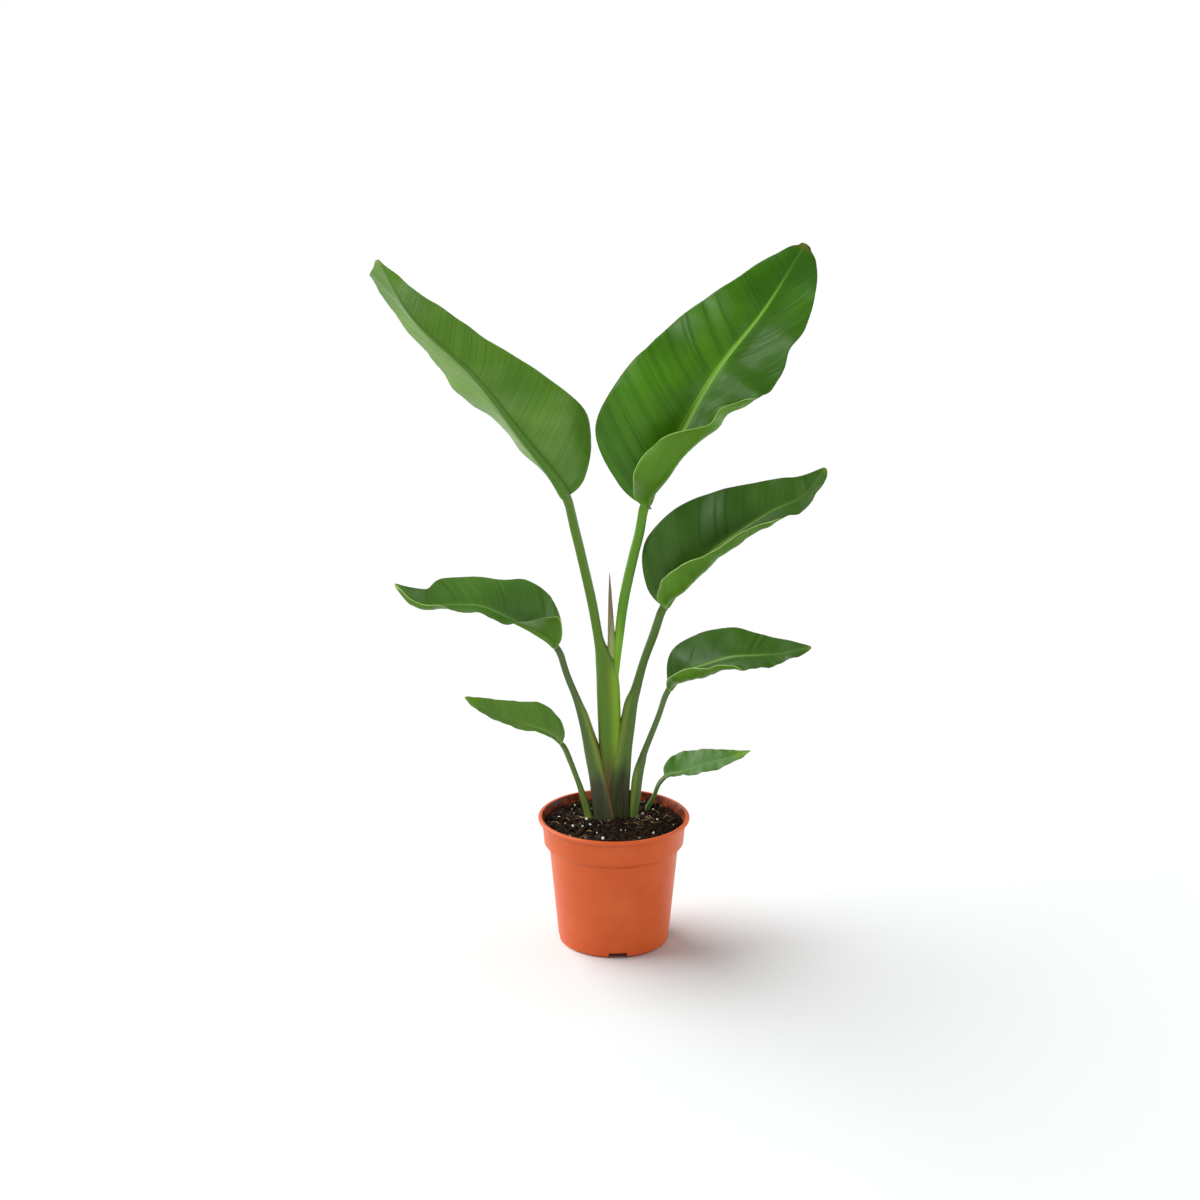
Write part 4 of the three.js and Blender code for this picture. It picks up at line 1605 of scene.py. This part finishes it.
# fmt: off
LEAVES: tuple[Leaf, ...] = (
    Leaf(
        number=1,
        midrib=((48, 30, 147), (64, 27, 152.6), (80.5, 23, 161), (101, 20, 168), (127, 20, 175.5)),
        facing=((0, -0.5, 0.9),) * 2,
        left=Half(width=(10, 19.5, 21, 18, 13, 6.5, 2), wave=0.5),
        right=Half(width=(6, 10, 15, 18.5, 16.5, 10, 3), fold=(35, 32, 23, 18, 15), curl=FLAT, wave=0.7),
        rib=1.8,
        stalk=((28, 30, 98, 2.6, 2.6), (31.2, 30, 113, 2.4, 2.4), (37.5, 30, 126, 2, 2)),
        inward=Side.LEFT,
    ),
    Leaf(
        number=2,
        midrib=(
            (-48, 12, 186), (-63.4, 9, 198.4), (-82.5, 6, 206), (-101.5, 3, 214), (-120.5, 0, 224),
            (-135.8, -2, 234.3),
        ),
        facing=((0.2, -0.6, 0.8), *((0, -0.6, 0.8),) * 4),
        left=Half(width=(9, 13.5, 16.5, 17.5, 15, 10, 4), fold=(55, 42, 37, 34, 30), curl=FLAT, wave=0.5),
        right=Half(width=(9.5, 20, 25.5, 20.5, 14.5, 8, 3), wave=0.5),
        rib=2,
        stalk=(
            (-19.4, 9, 98, 4.3, 4.3), (-22.2, 9, 112, 4, 4), (-27.4, 9, 131, 3.3, 3.3),
            (-33.8, 10, 151, 2.5, 2.5),
        ),
    ),
    Leaf(
        number=3,
        midrib=(
            (50, 16, 236), (66.7, 11, 255.3), (85.5, 7, 264), (107.7, 2, 271.5), (130.2, 0, 273.5),
            (153.4, -2, 276), (177.7, -4, 282),
        ),
        facing=((-0.2, -1, 0.8), (0, -0.9, 0.8), *((0, -0.8, 0.8),) * 3),
        left=Half(width=(6, 23, 30, 29, 21, 12.5, 4.5), wave=0.8, waves=2.5),
        right=Half(
            width=(12, 33, 39, 30, 17, 9.5, 4.5),
            fold=(36, 14, 2, 0, 4, 8, 8, 10, 10),
            curl=(130, 132, 120, 108, 66, 20, 5, 0, 0),
            hem=(0, 0, 30, 10, 50, 20, 0, 0, 0),
            wave=1.2,
            waves=5.0,
        ),
        rib=2.6,
        stalk=(
            (17, 14, 98, 3.8, 5), (18, 14, 112, 4.2, 5), (19.8, 13, 130, 4.7, 5), (22.5, 13, 154, 4.7, 4.8),
            (25.8, 13, 168, 3.9, 3.9), (29, 13, 179, 3, 3.1), (40, 14, 208, 2.7, 2.7),
        ),
        sheath=4,
        inward=Side.LEFT,
    ),
    Leaf(
        number=4,
        midrib=(
            (-52.4, 12, 278), (-73, 8, 294.5), (-96, 4, 307.2), (-120, 0, 319), (-144.5, -4, 321.5),
            (-170, -9, 323), (-195, -14, 343),
        ),
        facing=((0.3, -0.9, 0.5), (0, -0.8, 0.6), *((0, -0.7, 0.7),) * 3),
        left=Half(
            width=(16, 35, 37, 38, 34, 22, 12),
            fold=(95, 106, 77, 58, 50, 46, 38, 5, 0),
            curl=(8, 8, 6, 0, 0, 0, 40, 115, 120),
            wave=0.8,
        ),
        right=Half(
            width=(14.5, 33, 39.5, 30.5, 27.5, 14.5, 4), waves=2.5, phase=0.3, bites=((0.43, 2.5, 9),)
        ),
        rib=2.8,
        stalk=(
            (-7, 13, 98, 10.8, 13.5), (-8.6, 13, 115, 10.3, 13.5), (-12, 13, 136, 9.2, 13.2),
            (-15.6, 13, 156, 7.8, 12.6), (-19.7, 13, 176, 7.3, 11.4), (-24.2, 13, 195, 5.8, 9),
            (-29, 12, 213, 4.6, 6.4), (-35, 11, 231, 3.4, 4), (-42.4, 11, 250, 3.1, 3.2),
        ),
        sheath=7,
    ),
    Leaf(
        number=5,
        midrib=(
            (45, 14, 315), (64.7, 10, 342), (86, 7, 367), (112, 6, 387), (140.5, 9, 404.5),
            (170, 14, 418), (189, 22, 441),
        ),
        facing=((-0.2, -1, 0.3), (-0.1, -1, 0.4), (0, -1, 0.45), (0, -1, 0.4), (0, -1, 0.3)),
        left=Half(width=(24, 47.5, 51, 42, 27.5, 18.5, 6), wave=0.8),
        right=Half(
            width=(22, 42, 44, 35, 21, 9.5, 6),
            fold=(48, 22, 25, 32, 32, 30, 30, 30, 30),
            curl=(170, 195, 150, 95, 80, 55, 15, 10, 0),
            hem=(0, 0, 0, 0, 60, 60, 10, 0, 0),
            waves=6.0,
        ),
        rib=3.6,
        stalk=(
            (2.2, 14, 98, 11.4, 11.5), (3, 14, 120, 11.3, 11.5), (3.7, 14, 140, 11, 11.5),
            (6, 14, 161, 9.8, 11.3), (9, 14, 181, 8, 10.8), (12.8, 14, 204, 6.9, 9.6),
            (15.8, 13, 223, 6, 7.2), (20.3, 13, 238, 4.6, 5), (27.2, 13, 264, 3.8, 3.8),
            (35.4, 14, 287, 4, 3.9),
        ),
        sheath=7,
        inward=Side.LEFT,
    ),
    Leaf(
        number=6,
        midrib=((-43, 12, 417), (-83, 0, 475), (-122, -10, 527), (-171, -25, 577), (-196.3, -55, 628.3)),
        facing=((0.1, 1, 0), *((0, 1, 0.1),) * 4),
        left=Half(
            width=(31, 58, 54, 39, 29, 14.5, 3.5),
            fold=(20, 20, 40, 45, 38),
            curl=(10, 10, 5, 0, 0),
            slope=0.3,
        ),
        right=Half(
            width=(15, 38, 45, 45, 34, 37.5, 13),
            fold=(60, 62, 52, 62, 52),
            curl=(10, 10, 0, 0, 0),
            slope=1.6,
            bites=((0.63, 3, 9),),
        ),
        rib=4.2,
        stalk=(
            (-1.5, 14, 98, 8.6, 9.2), (-2.2, 14, 125, 9.2, 9.4), (-3, 14, 151, 9.8, 9.5),
            (-3.8, 14, 190, 10.3, 9.6), (-5, 14, 227, 10.6, 9.6), (-6, 14, 248, 10.2, 9.2),
            (-8.6, 14, 265, 8.5, 7.8), (-13.8, 14, 284, 4.7, 5), (-20.2, 14, 320, 4.4, 4.5),
            (-30.1, 13, 365, 4.3, 4.3), (-35.6, 13, 388, 4.3, 4.3),
        ),
        sheath=6,
    ),
    Leaf(
        number=7,
        midrib=((27, 6, 410), (58, -6, 478), (90, 2, 532), (130, 12, 582), (168, 45, 637)),
        facing=((-0.2, -1, 0.1), (0, -1, 0.2), (0, -1, 0.3), (0, -1, 0.3), (0, -1, 0.1)),
        left=Half(
            width=(31, 68, 70, 58, 44, 28.5, 11.5),
            curl=(-20, -20, -20, -20, -30),
            wave=1.4,
            waves=3.0,
            bites=((0.43, 1.2, 8), (0.985, 2, 2.5)),
        ),
        right=Half(
            width=(30, 63, 65, 52, 44, 32.5, 16.5),
            fold=(44, 31, 27, 27, 19, 16, 27, 15, 16, 4, 6, 10, 12, 14, 16, 16, 15),
            curl=(180, 180, 182, 176, 162, 112, 60, 30, 16, 4, 4, 5, 5, 4, 3, 2, 0),
            hem=(0, 0, -20, 30, 0, 10, 70, 120, 20, 0, 0, 0, 0, 0, 0, 0, 0),
            slope=1.4,
            wave=1.4,
            waves=6.0,
            bites=((0.69, 4, 9), (0.985, 2, 2.5)),
        ),
        rib=4.2,
        stalk=(
            (-1, 15, 98, 3.6, 3.6), (-1.5, 15, 150, 3.7, 3.7), (-1, 15, 220, 3.8, 3.8),
            (0.4, 15, 248, 3.9, 4), (4.2, 14, 284, 4.2, 4.3), (8.8, 12, 322, 4.6, 4.5),
            (16.6, 11, 360, 4.5, 4.5), (22, 11, 382, 4.4, 4.4),
        ),
        inward=Side.LEFT,
    ),
)
# fmt: on

YOUNG_UPPER = BladeFinish(
    leaf=srgb(70, 122, 8),
    shade=srgb(42, 88, 2),
    rib=srgb(116, 164, 48),
    margin=srgb(86, 92, 44),
    crease=srgb(22, 64, 2),
    tip=srgb(120, 96, 40),
    roughness=0.36,
    specular=0.25,
    crease_shade_depth=0.75,
    rib_fade=(0.74, 0.95),
    # painted shade on the right half
    right=srgb(52, 92, 14),
    vein_depth=0.25,
)
MATURE_UPPER = BladeFinish(
    leaf=srgb(62, 100, 22),
    shade=srgb(44, 82, 12),
    rib=srgb(112, 150, 66),
    margin=srgb(86, 86, 54),
    crease=srgb(22, 58, 4),
    tip=srgb(120, 150, 30),
    roughness=0.37,
    specular=0.25,
    crease_shade_depth=0.4,
    rib_edge=0.75,
    rib_fade=(0.55, 0.9),
    vein_depth=0.25,
)
SMALL_UPPER = BladeFinish(
    leaf=srgb(66, 112, 20),
    shade=srgb(50, 94, 12),
    rib=srgb(108, 148, 58),
    margin=srgb(88, 92, 48),
    crease=srgb(40, 82, 10),
    tip=srgb(150, 168, 40),
    roughness=0.36,
    crease_shade_depth=0.3,
    rib_edge=0.6,
    rib_fade=(0.2, 0.6),
    young=srgb(96, 142, 20),
)
PALE_UNDER = BladeFinish(
    leaf=srgb(90, 132, 32),
    shade=srgb(68, 110, 20),
    rib=srgb(60, 102, 12),
    margin=srgb(110, 128, 60),
    crease=srgb(48, 88, 14),
    tip=srgb(120, 150, 50),
    roughness=0.4,
    # painted sheen on the right half
    right=srgb(120, 156, 70),
    young=srgb(84, 130, 4),
    vein_depth=0.5,
)
BRIGHT_UNDER = BladeFinish(
    leaf=srgb(78, 122, 6),
    shade=srgb(62, 102, 4),
    rib=srgb(88, 126, 20),
    margin=srgb(170, 194, 110),
    crease=srgb(56, 98, 6),
    tip=srgb(150, 160, 80),
    roughness=0.42,
    crease_shade_depth=0.3,
)

STALKS: dict[int, StalkFinish] = {
    1: StalkFinish(srgb(68, 94, 42), srgb(84, 116, 44), srgb(110, 120, 60), srgb(98, 136, 40), 0.125),
    2: StalkFinish(srgb(76, 102, 44), srgb(110, 138, 48), srgb(130, 96, 50), srgb(118, 138, 48), 0.135),
    3: StalkFinish(srgb(76, 102, 50), srgb(122, 146, 50), srgb(150, 158, 90), srgb(92, 108, 50), 0.13),
    4: StalkFinish(srgb(76, 102, 46), srgb(108, 132, 40), srgb(132, 80, 50), srgb(58, 52, 46), 0.172),
    5: StalkFinish(srgb(76, 106, 36), srgb(102, 124, 42), srgb(144, 76, 44), srgb(38, 31, 22), 0.178),
    6: StalkFinish(srgb(76, 116, 24), srgb(116, 152, 26), srgb(150, 140, 60), srgb(84, 70, 34), 0.185),
    7: StalkFinish(srgb(72, 118, 24), srgb(92, 150, 22), srgb(146, 156, 72), srgb(112, 158, 24), 0.31),
}
UPPER: dict[int, BladeFinish] = {
    1: SMALL_UPPER,
    # Leaves 2 and 4 take lighter copies of their finishes: painted light, making up for the light that the
    # lamps leave off these left leaves.
    2: replace(SMALL_UPPER, leaf=srgb(92, 128, 46), shade=srgb(74, 110, 34)),
    3: MATURE_UPPER,
    4: replace(MATURE_UPPER, leaf=srgb(80, 121, 42), shade=srgb(62, 102, 30)),
    5: MATURE_UPPER,
    6: YOUNG_UPPER,
    7: YOUNG_UPPER,
}
PALE_BELOW = 6
SMALL_LEAVES = (1, 2)
SMALL_BLADE = {"rows": 160, "columns": 20, "pleat_step": 7.0, "pleat_height": 0.2}


def main() -> None:
    """Builds the plant, its pot and the studio."""
    logging.basicConfig(level=logging.INFO, format="%(name)s %(message)s")
    studio = Studio()
    studio.camera()
    pot = NurseryPot()
    pot.build()
    PottingSoil(pot).build()
    for leaf in LEAVES:
        number = leaf.number
        LeafStalk(leaf, STALKS[number]).build()
        under = PALE_UNDER if number == PALE_BELOW else BRIGHT_UNDER
        LeafBlade(leaf, UPPER[number], under, **(SMALL_BLADE if number in SMALL_LEAVES else {})).build()
    SpearLeaf().build()
    studio.build()


if __name__ == "__main__":
    main()
